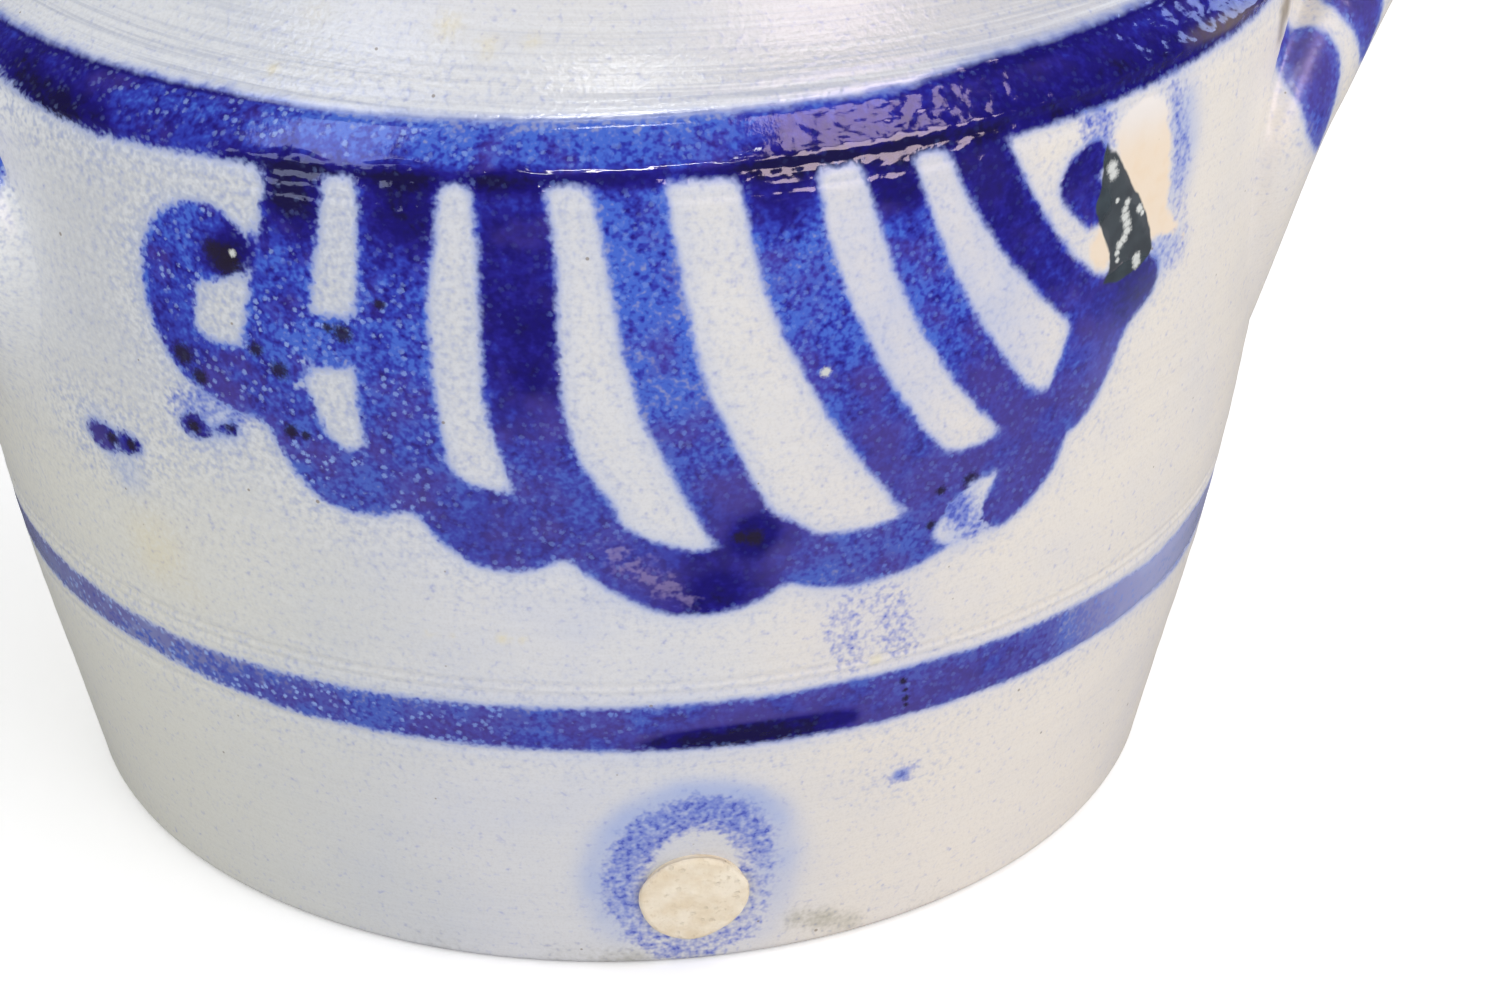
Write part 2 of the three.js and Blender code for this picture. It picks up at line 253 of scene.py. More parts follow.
# A lamp's two ends are (degrees from the front, degrees up) as seen from the pot's middle. After them come
# how far away it is, its width, the strength of its light, that of its mirror image, and its tint.
LAMPS = {
    "left_soft": ((-52, 2), (-52, 36), 2.0, 0.9, 1.5, 0, (1, 1, 1)),
    "right_soft": ((34, 2), (34, 36), 2.0, 1.1, 2.1, 0, (1, 1, 1)),
    "far_right_soft": ((92, 3), (92, 42), 2.0, 1.6, 1.0, 0, (1, 1, 1)),
    "far_right_window": ((113, 5), (116, 33), 2.0, 0.5, 0, 5.0, (0.43, 0.56, 1)),
    "left_window": ((-51, -5), (-80, 64), 2.0, 0.5, 0, 4.6, (0.56, 0.62, 0.86)),
    "right_window": ((21, -5), (45, 41), 2.0, 0.8, 0, 10.0, (1.0, 0.78, 0.84)),
    "right_skylight": ((40, 49), (54, 68), 2.0, 0.7, 0, 5.4, (1.0, 0.78, 0.9)),
    "camera_lamp": ((-8, 31), (-8, 34), 1.0, 0.4, 0, 70, (1, 0.97, 0.94)),
    "overhead_lamp": ((-12, 76), (-12, 80), 1.8, 0.3, 0, 22, (1, 1, 1)),
}
LAMPS_AIM = Vector((0, 0, 0.19))

sky = bpy.data.worlds.new("sky")
sky.use_nodes = True
air = Nodes(sky.node_tree)
strength = SKY_LIGHT + air.ray("Is Camera Ray") * (1 - SKY_LIGHT)
strength = strength - air.ray("Is Glossy Ray") * (SKY_LIGHT - SKY_MIRRORED)
background = air.node("ShaderNodeBackground", {}, {"Color": (1, 1, 1, 1), "Strength": strength})
air.node("ShaderNodeOutputWorld", {}, {"Surface": background.outputs[0]})
bpy.context.scene.world = sky


def towards(azimuth, elevation):
    turn, up = math.radians(azimuth), math.radians(elevation)
    return Vector((math.sin(turn) * math.cos(up), -math.cos(turn) * math.cos(up), math.sin(up)))


def hang_lamp(name, low, high, width, radiance, tint):
    """Rectangular lamp from a low end to a high end that faces the pot."""
    light = bpy.data.lights.new(name, "AREA")
    light.shape = "RECTANGLE"
    light.size = width
    light.size_y = (high - low).length
    light.energy = radiance * math.pi * light.size * light.size_y
    light.color = tint
    lamp = bpy.data.objects.new(name, light)
    along = (high - low).normalized()
    middle = (high + low) / 2
    across = along.cross(middle - LAMPS_AIM).normalized()
    facing = Matrix((across, along, across.cross(along))).transposed().to_4x4()
    lamp.matrix_world = Matrix.Translation(middle) @ facing
    bpy.context.scene.collection.objects.link(lamp)
    return lamp


for name, (low, high, away, width, light, mirrored, tint) in LAMPS.items():
    low, high = [LAMPS_AIM + away * towards(*end) for end in (low, high)]
    if light:
        hang_lamp(name, low, high, width, light, tint).visible_glossy = False
    if mirrored:
        hang_lamp(name + "_glint", low, high, width, mirrored, tint).visible_diffuse = False


# The thrown body is one wall of grey stoneware, turned on a wheel from the foot to a rolled rim, with
# a bead on its shoulder, turned lines, and a tap hole cut through the wall in a shallow wiped dish.
# Its upper part sagged a little in the kiln. It is made as a half section and a tree that spins it.
WALL_THICKNESS = 9.0
FLOOR_THICKNESS = 9.0
FLOOR_FILLET = 14.0
FOOT_ROUND = 3.0
RIM_OVERHANG = 8.8
RIM_HALF_HEIGHT = 9.5
MOUTH_ROUND = 3.0
POT_HEIGHT = 272.0
BEAD = {"height": 192.0, "rise": 0.7, "width": 1.1}
# The outer wall is a smooth curve through stations of (height, radius).
WALL_STATIONS = [
    (0, 124.8), (68, 139.6), (129, 147.6), (182, 151), (192, 149.8),
    (199, 143.4), (208.5, 132), (223, 120), (240, 117.5), (253, 117.5),
]
# Each turned line is (height, depth).
TURNED_LINES = [
    (60.7, 0.3), (76, 0.5), (78.4, 0.4), (185.6, 0.12),
    (189.6, 0.2), (199, 0.6), (201.3, 0.35), (208.5, 0.3),
]
TURNED_LINE_WIDTH = 0.6
# The section's rings: their radii on the base and on the inside floor, stretches of the outer wall as
# (from height, to height, rings), closer where lines are turned, and the inner wall's top and count.
BASE_RINGS = (0, 60, 110)
FLOOR_RINGS = (70, 30, 0)
WALL_STRETCHES = [(3.5, 58, 40), (58.6, 82, 34), (83, 183, 100), (183.4, 204, 50), (205, 251, 22)]
INNER_WALL_TOP = 262.0
INNER_WALL_RINGS = 30
# The throwing ripples climb like a thread, and fade out between these heights and radii in metres.
RIPPLE_LUMPS_AROUND = 0.8
RIPPLE_LUMPS_PER_METRE = 190.0
RIPPLE_CLIMB = 0.16
NO_RIPPLE_AT_FOOT = (0.006, 0.03)
NO_RIPPLE_ON_FLOOR = (0.09, 0.1)
NO_RIPPLE_ON_RIM = (0.25, 0.262)
WELD_DISTANCE = 1e-5
TAP_HEIGHT = 20.0
TAP_RADIUS = 11.4
TAP_TAPER = 0.09
TAP_DISH = {"height": 25.5, "half_width": 15.0, "depth": 1.1, "flat": 0.35, "end": 1.25}
# The two ends of the drill that cuts the tap hole are this far beyond the wall.
DRILL_REACHES = (-30.0, 20.0)
DRILL_SIDES = 64
# The slope of the kiln's sag across X, and the heights in metres between which it starts and ends.
SAG = {"Sag Slope": 0.032, "Sag Start": 0.080, "Sag Full": 0.185, "Sag Fade": 0.212, "Sag End": 0.250}


def smooth_rise(values, low, high):
    share = np.clip((values - low) / (high - low), 0, 1)
    return share * share * (3 - 2 * share)


def wall_radius(heights):
    """Radius of the smooth outer wall in millimetres, by a cubic curve through the stations."""
    stations = np.array(WALL_STATIONS, float)
    knots, radii = stations[:, 0], stations[:, 1]
    before = np.maximum(np.arange(len(knots)) - 1, 0)
    after = np.minimum(np.arange(len(knots)) + 1, len(knots) - 1)
    slopes = (radii[after] - radii[before]) / (knots[after] - knots[before])
    heights = np.clip(np.asarray(heights, float), knots[0], knots[-1])
    low = np.clip(np.searchsorted(knots, heights, "right") - 1, 0, len(knots) - 2)
    span = knots[low + 1] - knots[low]
    t = (heights - knots[low]) / span
    ends = (1 + 2 * t) * (1 - t) ** 2 * radii[low] + t * t * (3 - 2 * t) * radii[low + 1]
    return ends + span * (t * (1 - t) ** 2 * slopes[low] + t * t * (t - 1) * slopes[low + 1])


def turned_relief(heights):
    """Height of the bead and depth of the turned lines, added to the smooth wall."""
    relief = BEAD["rise"] * np.exp(-(((heights - BEAD["height"]) / BEAD["width"]) ** 2))
    for height, depth in TURNED_LINES:
        relief -= depth * np.exp(-(((heights - height) / TURNED_LINE_WIDTH) ** 2))
    return relief


def quarter(count):
    return np.linspace(0, math.pi / 2, count)


def half_section():
    """Radii and heights from the middle of the base, round the rim and to the middle of the floor."""
    base = (BASE_RINGS, np.zeros(len(BASE_RINGS)))
    turn = quarter(6)
    middle = wall_radius(FOOT_ROUND) - FOOT_ROUND
    foot = (middle + FOOT_ROUND * np.sin(turn), FOOT_ROUND * (1 - np.cos(turn)))
    heights = np.concatenate([np.linspace(*stretch) for stretch in WALL_STRETCHES])
    outer_wall = (wall_radius(heights) + turned_relief(heights), heights)
    turn = np.linspace(-math.pi / 2, math.pi / 2, 18)
    neck = WALL_STATIONS[-1][1]
    middle = POT_HEIGHT - RIM_HALF_HEIGHT
    rim = (neck + RIM_OVERHANG * np.cos(turn), middle + RIM_HALF_HEIGHT * np.sin(turn))
    turn = quarter(7)
    middle = neck - WALL_THICKNESS + MOUTH_ROUND
    mouth = (middle - MOUTH_ROUND * np.sin(turn), POT_HEIGHT - MOUTH_ROUND * (1 - np.cos(turn)))
    lowest = FLOOR_THICKNESS + FLOOR_FILLET
    heights = np.linspace(INNER_WALL_TOP, lowest, INNER_WALL_RINGS)
    slopes = (wall_radius(heights + 1) - wall_radius(heights - 1)) / 2
    inner = wall_radius(heights) - WALL_THICKNESS * np.sqrt(1 + slopes**2)
    turn = quarter(9)[1:]
    middle = inner[-1] - FLOOR_FILLET
    fillet = (middle + FLOOR_FILLET * np.cos(turn), lowest - FLOOR_FILLET * np.sin(turn))
    inside_floor = (FLOOR_RINGS, np.full(len(FLOOR_RINGS), FLOOR_THICKNESS))
    return np.hstack([base, foot, outer_wall, rim, mouth, (inner, heights), fillet, inside_floor]).T


class Tree(Nodes):
    """A Geometry Nodes tree with named inputs."""

    def __init__(self, name):
        super().__init__(bpy.data.node_groups.new(name, "GeometryNodeTree"))
        for way in ("INPUT", "OUTPUT"):
            self.tree.interface.new_socket("Geometry", in_out=way, socket_type="NodeSocketGeometry")
        self.source = self.node("NodeGroupInput", {}, {})
        self.identifiers = {}

    def size(self, name, kind="NodeSocketFloat"):
        socket = self.tree.interface.new_socket(name, in_out="INPUT", socket_type=kind)
        self.identifiers[name] = socket.identifier
        return Number(self, self.source.outputs[name])

    def vector(self, *numbers):
        return self.node("ShaderNodeCombineXYZ", {}, dict(enumerate(numbers))).outputs[0]


def spinning_tree():
    """Spins a half section about Z, closer at the front, with throwing ripples and the kiln's sag."""
    tree = Tree("spin_section")
    rows = tree.size("Rows", "NodeSocketInt")
    columns = tree.size("Columns", "NodeSocketInt")
    closer = tree.size("Front Closeness")
    ripple_depth = tree.size("Ripple Depth")
    ripple_seed = tree.size("Ripple Seed")
    finish = tree.size("Finish", "NodeSocketMaterial")
    slope, start, full, fade, end = [tree.size(name) for name in SAG]

    grid = {"Size X": 1.0, "Size Y": 1.0, "Vertices X": columns, "Vertices Y": rows}
    made = tree.node("GeometryNodeMeshGrid", {}, grid).outputs["Mesh"]
    place = tree.node("GeometryNodeInputPosition", {}, {}).outputs[0]
    column, row, _ = tree.parts(place)
    point = {
        "Geometry": tree.source.outputs[0],
        "Index": ((row + 0.5) * (rows - 1.0)).rounded(),
        "Value": place,
    }
    section = tree.node("GeometryNodeSampleIndex", {"data_type": "FLOAT_VECTOR"}, point)
    radius, _, height = tree.parts(section.outputs["Value"])
    around = column * (2 * math.pi)
    turn = around - closer * around.sine()
    across = turn.sine()
    away = turn.cosine()

    climb = height * RIPPLE_LUMPS_PER_METRE + turn * RIPPLE_CLIMB
    lumps = tree.vector(across * RIPPLE_LUMPS_AROUND, away * RIPPLE_LUMPS_AROUND, climb)
    noise_inputs = {"Vector": lumps, "W": ripple_seed, "Scale": 1.0, "Detail": 2.0}
    ripple = tree.number("ShaderNodeTexNoise", {"noise_dimensions": "4D"}, noise_inputs)
    wall_only = height.rise(*NO_RIPPLE_AT_FOOT) * radius.rise(*NO_RIPPLE_ON_FLOOR)
    below_rim = 1 - height.rise(*NO_RIPPLE_ON_RIM)
    radius = radius - ripple * ripple_depth * wall_only * below_rim
    x = radius * across
    y = radius * away * -1.0
    sagged_share = height.rise(start, full) * (1 - height.rise(fade, end))
    z = height + slope * x * sagged_share

    steps = {
        "GeometryNodeSetPosition": {"Position": tree.vector(x, y, z)},
        "GeometryNodeMergeByDistance": {"Distance": WELD_DISTANCE},
        "GeometryNodeSetShadeSmooth": {},
        "GeometryNodeRealizeInstances": {},
        "GeometryNodeSetMaterial": {"Material": finish},
    }
    for kind, inputs in steps.items():
        made = tree.node(kind, {}, {"Geometry": made, **inputs}).outputs[0]
    tree.node("NodeGroupOutput", {}, {0: made})
    return tree


def plain_mesh(source, name):
    """Object with the evaluated form of another as its own mesh, in the other's place."""
    bpy.context.view_layer.update()
    graph = bpy.context.evaluated_depsgraph_get()
    shape = source.evaluated_get(graph)
    mesh = bpy.data.meshes.new_from_object(shape, preserve_all_data_layers=True, depsgraph=graph)
    made = bpy.data.objects.new(name, mesh)
    mesh.name = name
    bpy.context.scene.collection.objects.link(made)
    bpy.data.objects.remove(source)
    return made


def ring_faces(rings, sides, turned=False):
    """Faces between rings of points that follow each other, each ring closed on itself."""
    faces = []
    for low in range(0, (rings - 1) * sides, sides):
        for step in range(sides):
            after = (step + 1) % sides
            corners = [low + step, low + sides + step, low + sides + after, low + after]
            faces.append(corners[:1] + corners[:0:-1] if turned else corners)
    return faces


glaze = Finish("salt_glaze")

section = half_section() * MM
line_points = [(radius, 0, height) for radius, height in section]
line_edges = [(i, i + 1) for i in range(len(section) - 1)]
blank = new_object("section", line_points, edges=line_edges)
spin = spinning_tree()
modifier = blank.modifiers.new("spin", "NODES")
modifier.node_group = spin.tree
spin_sizes = {
    "Rows": len(section),
    "Columns": 297,
    "Front Closeness": 0.78,
    "Ripple Depth": 0.5 * MM,
    "Ripple Seed": 4.0,
    "Finish": glaze.material,
    **SAG,
}
for name, value in spin_sizes.items():
    modifier[spin.identifiers[name]] = value
pot = plain_mesh(blank, "pot")

drill_turns = np.linspace(0, 2 * math.pi, DRILL_SIDES, endpoint=False)
drill_points = []
for reach in DRILL_REACHES:
    radius = TAP_RADIUS + TAP_TAPER * reach
    y = -(wall_radius(TAP_HEIGHT) + reach)
    drill_points += [(radius * math.sin(t), y, TAP_HEIGHT + radius * math.cos(t)) for t in drill_turns]
drill_ends = [reversed(range(DRILL_SIDES)), range(DRILL_SIDES, 2 * DRILL_SIDES)]
drill_faces = ring_faces(len(DRILL_REACHES), DRILL_SIDES, turned=True) + drill_ends
drill = new_object("drill", np.array(drill_points) * MM, drill_faces)


def sag_share(heights):
    """Share of the kiln's sag at heights in millimetres: none near the foot, and none at the rim."""
    share = smooth_rise(heights, SAG["Sag Start"] / MM, SAG["Sag Full"] / MM)
    return share * (1 - smooth_rise(heights, SAG["Sag Fade"] / MM, SAG["Sag End"] / MM))


def material_places(points):
    """Degrees from the front, height with the kiln's sag taken out, and radius, from places in metres."""
    x, y, z = points.T / MM
    height = z.copy()
    for _ in range(4):
        height = z - SAG["Sag Slope"] * x * sag_share(height)
    return np.degrees(np.arctan2(x, -y)), height, np.hypot(x, y)


def vertices(mesh):
    places = np.zeros(len(mesh.vertices) * 3)
    mesh.vertices.foreach_get("co", places)
    return places.reshape(-1, 3)


places = vertices(pot.data)
degrees, height, radius = material_places(places)
arc = np.radians(degrees) * wall_radius(height)
ring = np.hypot(arc, height - TAP_DISH["height"]) / TAP_DISH["half_width"]
hollow = TAP_DISH["depth"] * (1 - smooth_rise(ring, TAP_DISH["flat"], TAP_DISH["end"]))
outside = radius > wall_radius(height) - 0.4 * WALL_THICKNESS
places[:, :2] *= (1 - np.where(outside, hollow, 0) / np.maximum(radius, 1))[:, None]
pot.data.vertices.foreach_set("co", places.ravel())
pot.data.update()

cut = pot.modifiers.new("tap_hole", "BOOLEAN")
cut.operation = "DIFFERENCE"
cut.solver = "EXACT"
cut.object = drill
pot = plain_mesh(pot, "pot")
bpy.data.objects.remove(drill)


# The painting is cobalt, brushed on before firing: a band round the shoulder and one above the foot,
# and between them a scroll, a fan of seven strokes hung from the upper band, and scallops below them.
# The bands' edges are rows of (degrees from the front, height), their loads rows of (degrees, load).
UPPER_BAND = {
    "low": [(-180, 190), (-75, 191), (-59, 193.6), (-51, 190.2), (-46, 189.5), (-36, 190.1), (-10, 189.2),
            (18, 188.2), (24, 187.3), (36, 188.0), (43, 188.6), (60, 190.2), (180, 190)],
    "top": [(-180, 199.4), (-60, 200.2), (-36, 200.0), (-26, 199.0), (0, 198.9), (16, 198.8), (22, 200.3),
            (45, 200.4), (60, 200), (180, 199.4)],
    "load": [(-180, 0.5), (-75, 0.6), (-58, 1.0), (-50, 0.95), (-44, 0.6), (-34, 0.55),
             (-31, 0.35), (-24, 0.3), (-20, 0.15), (0, 0.15), (4, 0.6), (9, 0.9), (18, 1.05), (40, 1.05),
             (55, 0.9), (75, 0.5), (180, 0.5)],
}
LOWER_BAND = {
    "low": [(-180, 63), (-51, 64.6), (-35, 62.4), (-10, 61.7), (5, 60.9), (20, 60.8), (34, 60.8),
            (48, 60.8), (56, 59.8), (80, 62.5), (180, 63)],
    "top": [(-180, 72), (-60, 72.8), (-48, 71.6), (-25, 72.4), (0, 73.2), (20, 74.1), (39, 73.1),
            (48, 71.6), (57, 72.8), (80, 72), (180, 72)],
    "load": [(-180, 0.3), (-60, -0.8), (-48, -0.45), (-38, 0.05), (-20, 0.3), (-5, 0.4), (0, 0.7),
             (12, 0.65), (20, 0.4), (28, 0.45), (34, 0.1), (38, -0.35), (44, -0.9),
             (50, -1.5), (62, -1.2), (180, 0.3)],
}
# A band is this much more heavily loaded at its lower edge than in its middle.
BAND_LEAN = 0.22
# A stroke is a line of (degrees from the front, height, half width, load): a load of 0 is a thin
# wash that the salt speckles, and 1 a thick pool.
STROKES = [
    # The scroll at the left.
    [(-33.6, 171.6, 2, 1.3), (-34.8, 172.2, 5.4, 1.1), (-36.6, 172.8, 8, 0.5), (-38.6, 171.2, 7.8, 0.4),
     (-40.1, 166.4, 6.8, 0.45), (-40.6, 159, 6.2, 0.5), (-40.4, 152, 5.4, 0.6), (-38.8, 146.2, 6, 0.6),
     (-35.4, 142.6, 6.6, 0.5), (-32, 141.6, 7, 0.4)],
    # The fan from left to right, with a fill and a cross bar between its first two strokes.
    [(-29.1, 192, 6, 0.9), (-29.2, 184, 5.9, 0.9), (-30.1, 173, 6.1, 0.45), (-31, 162, 6.4, 0.45),
     (-31.7, 152, 6.6, 0.35), (-31.8, 143, 5.5, 0.5), (-30.9, 139, 5.5, 0.5)],
    [(-37.4, 148.2, 2.4, 0.5), (-35, 147.4, 3.4, 0.55), (-32.8, 148, 3, 0.5)],
    [(-29.8, 154.2, 5.8, 0.0), (-27.6, 155.2, 5.8, 0.1), (-24.8, 156.4, 4.6, 0.4)],
    [(-21.2, 191, 7.7, 0.8), (-21.5, 180, 7.3, 0.7), (-22, 170, 6.8, 0.5), (-22.3, 159, 7.1, 0.3),
     (-22.4, 144, 7.8, 0.35), (-21.8, 127, 8, 0.45)],
    [(-13.6, 191, 6.6, 0.8), (-13.1, 176, 7.1, 0.85), (-13.1, 162, 7.2, 0.95), (-13, 145, 7.3, 0.8),
     (-12.4, 137, 7.1, 0.6), (-11.4, 128, 7.2, 0.45), (-9.3, 119, 7, 0.45)],
    [(-5.4, 191, 6.6, 0.4), (-4.4, 174, 6.4, 0.05), (-3.5, 159, 6.6, 0.0), (-2.2, 144, 6.6, 0.0),
     (-0.9, 136, 6.6, 0.3), (0.6, 127, 6.5, 0.45), (2.4, 118, 6.4, 0.8), (4.3, 110, 6.2, 0.9)],
    [(4.9, 191, 7.1, 0.9), (6.2, 174, 7, 0.15), (7.6, 162, 7, 0.15), (9.5, 151, 6.8, 0.35),
     (11.9, 139, 6.6, 0.5), (14.7, 128, 6.6, 0.55), (17.9, 118, 6.5, 0.55)],
    [(12.7, 191, 5, 0.9), (14.6, 176, 5, 0.5), (16.5, 163, 5.2, 0.3), (18.9, 151, 5.3, 0.4),
     (21.5, 141, 5.2, 0.6), (24.5, 131.5, 5, 0.6), (27.3, 125, 5, 0.7)],
    [(19.4, 192, 6, 0.95), (21.5, 180, 5.8, 1.0), (24.6, 167, 5.4, 0.95),
     (28, 156, 5, 0.85), (31.5, 147.5, 5.2, 0.7)],
    # The curl at the fan's right end.
    [(30.6, 177, 4.5, 1.0), (29.5, 174.5, 4.8, 1.0), (30.2, 171, 4.6, 0.8), (31.6, 167, 4.2, 0.8)],
    # The scallops from left to right.
    [(-31.4, 139, 5.5, 0.4), (-30, 131, 6.2, 0.35), (-28, 125.2, 7, 0.3), (-25.6, 124.2, 7.6, 0.3),
     (-22.6, 126.4, 7.2, 0.3)],
    [(-20.2, 124, 6.2, 0.4), (-18.4, 119.4, 7.4, 0.5), (-16.6, 116.6, 9, 0.6), (-14.4, 115.4, 9.2, 0.55),
     (-12, 116.6, 8, 0.5), (-9.4, 117, 7.4, 0.5)],
    [(-8.2, 113, 6.2, 0.4), (-4.8, 106.8, 7.2, 0.6), (-1, 103, 7.8, 0.95), (3.2, 104.6, 7.8, 0.95),
     (5.4, 109, 7.2, 0.95)],
    [(6.2, 107.6, 5.6, 0.4), (10, 104.6, 6.2, 0.25), (14.2, 104.4, 6.6, 0.25), (18.2, 107, 6.8, 0.35),
     (20, 111.5, 6, 0.5)],
    [(21, 107.5, 5, 0.5), (24.8, 109.4, 6.4, 0.5), (27.6, 115, 6.8, 0.55), (28.6, 120.5, 6, 0.6)],
    [(16.5, 118.6, 4.4, 0.4), (20.2, 119.4, 4.2, 0.5), (22.4, 119.8, 4, 0.6), (25, 120.6, 4.6, 0.5)],
    [(28.4, 123.6, 6, 0.6), (31, 127.6, 7.8, 0.5), (32.4, 134.6, 8.2, 0.55), (33.6, 141.5, 8.6, 0.8),
     (35.6, 145.4, 7.6, 0.9), (37.8, 146.4, 5.6, 1)],
]
# Pools are (degrees, height, radius, load), and spots (degrees, height, half length, half height, load).
POOLS = [
    (-35.2, 170.4, 4.4, 0.8), (-20.9, 184, 6, 0.7), (-29.1, 185, 6, 0.7), (5.6, 184, 7, 0.5),
    (13.4, 184, 6, 0.5), (-12.2, 160, 4, 0.35), (-12.4, 150, 3.5, 0.3), (3.8, 113, 4, 0.5),
    (1.2, 100, 4, 0.35), (36.6, 145, 5, 0.3), (15.2, 180, 4, 0.3),
]
SPOTS = [
    (-39.9, 129.7, 3.6, 3.2, 0.95), (-36.8, 131.6, 2.4, 2.8, 1.0), (-50.8, 118.3, 5.0, 3.6, 0.85),
    (-47.7, 119.2, 3.6, 2.6, 1.05), (18.9, 44.4, 1.4, 0.9, 0.1),
]
# Paint pooled along the bands' edges, as lines like strokes.
BAND_POOLS = [
    [(-6, 63.5, 1.0, 0.3), (-1, 63.3, 2.0, 0.7), (6, 63.6, 2.4, 0.7), (13, 64.6, 1.6, 0.4)],
    [(20, 66, 1.2, 0.2), (27, 68.5, 1.8, 0.3), (33, 68, 1.6, 0.2)],
    [(-34, 190.4, 0.6, 0.8), (-24, 190.4, 0.7, 0.9), (-10, 190.2, 0.9, 0.9),
     (8, 189.9, 0.9, 0.8), (22, 189.6, 0.7, 0.5)],
    [(-58, 199.4, 0.3, 0.5), (-44, 199.4, 0.35, 0.6), (-30, 199.2, 0.3, 0.5), (-24, 199, 0.3, 0.2)],
    [(17, 199.2, 0.3, 0.4), (30, 199.5, 0.4, 0.6), (46, 199.4, 0.4, 0.5)],
    [(-57, 195.5, 2.0, 0.4), (-51, 192.4, 2.2, 0.5), (-46, 192.2, 1.4, 0.4)],
]
# Points along a brushed line are this far apart, and edges that come this close flow together.
STROKE_STEP = 0.6
JOINING = 2.3
# A line's load runs on into its neighbours over this distance.
LOAD_BLEND = 1.6
# Distances on the pot are kept between these two, and nothing further off than the second is looked for.
WELL_INSIDE = -20.0
FAR_OFF = 60.0
# So many places are measured at a time, to save memory.
BATCH = 4000


def through(points, step):
    """Points about a step apart on a smooth curve through the given ones, each row of numbers alike."""
    points = np.asarray(points, float)
    padded = np.vstack([2 * points[0] - points[1], points, 2 * points[-1] - points[-2]])
    rows = []
    for i in range(1, len(padded) - 2):
        before, start, end, after = padded[i - 1 : i + 3]
        count = max(2, int(np.linalg.norm((end - start)[:3]) / step))
        t = np.linspace(0, 1, count, endpoint=False)[:, None]
        rows.append(
            0.5 * (2 * start + (end - before) * t + (2 * before - 5 * start + 4 * end - after) * t**2
                   + (3 * start - before - 3 * end + after) * t**3)
        )
    rows.append(points[-1:])
    return np.vstack(rows)


def on_wall(degrees, height):
    """Places in millimetres on the wall as it was before it sagged."""
    turn = np.radians(degrees)
    radius = wall_radius(height)
    return np.stack([radius * np.sin(turn), -radius * np.cos(turn), height], -1)


def stroke_line(stroke):
    stroke = np.array(stroke, float)
    return through(np.hstack([on_wall(stroke[:, 0], stroke[:, 1]), stroke[:, 2:]]), STROKE_STEP)


def nearest(spots, line):
    """For each spot, how far it is outside a brushed line, and the line's load there."""
    outside = np.full(len(spots), 1e3)
    load = np.zeros(len(spots))
    reach = np.linalg.norm(spots - line[:, :3].mean(0), axis=1)
    near = np.flatnonzero(reach < np.linalg.norm(line[0, :3] - line[-1, :3]) + FAR_OFF)
    for start in range(0, len(near), BATCH):
        some = near[start : start + BATCH]
        away = np.linalg.norm(spots[some, None] - line[None, :, :3], axis=2) - line[None, :, 3]
        best = away.argmin(1)
        outside[some] = away[np.arange(len(some)), best]
        load[some] = line[best, 4]
    return outside, load


def join(first, second, reach):
    """The lesser of two distances, rounded where they meet as wet paint is."""
    share = np.clip(reach - np.abs(first - second), 0, None) / reach
    return np.minimum(first, second) - share * share * reach / 4


def painted(spots, degrees, height, lines):
    """Distance outside the cobalt in millimetres, and its load, at places on the pot."""
    edge = np.full(len(spots), 1e3)
    weight = np.full(len(spots), 1e-9)
    total = np.zeros(len(spots))
    parts = [nearest(spots, line) for line in lines]
    for band in (UPPER_BAND, LOWER_BAND):
        low, top, load = [np.interp(degrees, *np.array(band[name]).T) for name in ("low", "top", "load")]
        load = load + BAND_LEAN * np.clip(1 - 2 * (height - low) / (top - low), -1, 1)
        parts.append((np.maximum(low - height, height - top), load))
    for outside, load in parts:
        edge = join(edge, outside, JOINING)
        pull = np.exp(-np.clip(outside + 4, 0, FAR_OFF) / LOAD_BLEND)
        weight += pull
        total += pull * load
    return edge, total / weight


def blobs(spots, marks):
    """Sum of soft round marks, each (degrees, height, radius, strength)."""
    amount = np.zeros(len(spots))
    for degrees, height, radius, strength in marks:
        away = np.linalg.norm(spots - on_wall(degrees, height), axis=1)
        amount += strength * np.exp(-((away / radius) ** 2))
    return amount


degrees, height, radius = material_places(vertices(pot.data))
outer = radius > wall_radius(height) - 0.5 * WALL_THICKNESS
spots = on_wall(degrees, height)
edge, coat = painted(spots, degrees, height, [stroke_line(stroke) for stroke in STROKES])
for angle, middle, half_length, half_height, strength in SPOTS:
    across = np.radians(degrees - angle) * wall_radius(middle)
    away = (np.hypot(across / half_length, (height - middle) / half_height) - 1) * half_height
    coat = np.where(away < edge, strength, coat)
    edge = join(edge, away, 1.0)
coat += blobs(spots, POOLS)
for pool in BAND_POOLS:
    outside, extra = nearest(spots, stroke_line(pool))
    coat += extra * (1 - smooth_rise(outside, -1.6, 3.0))

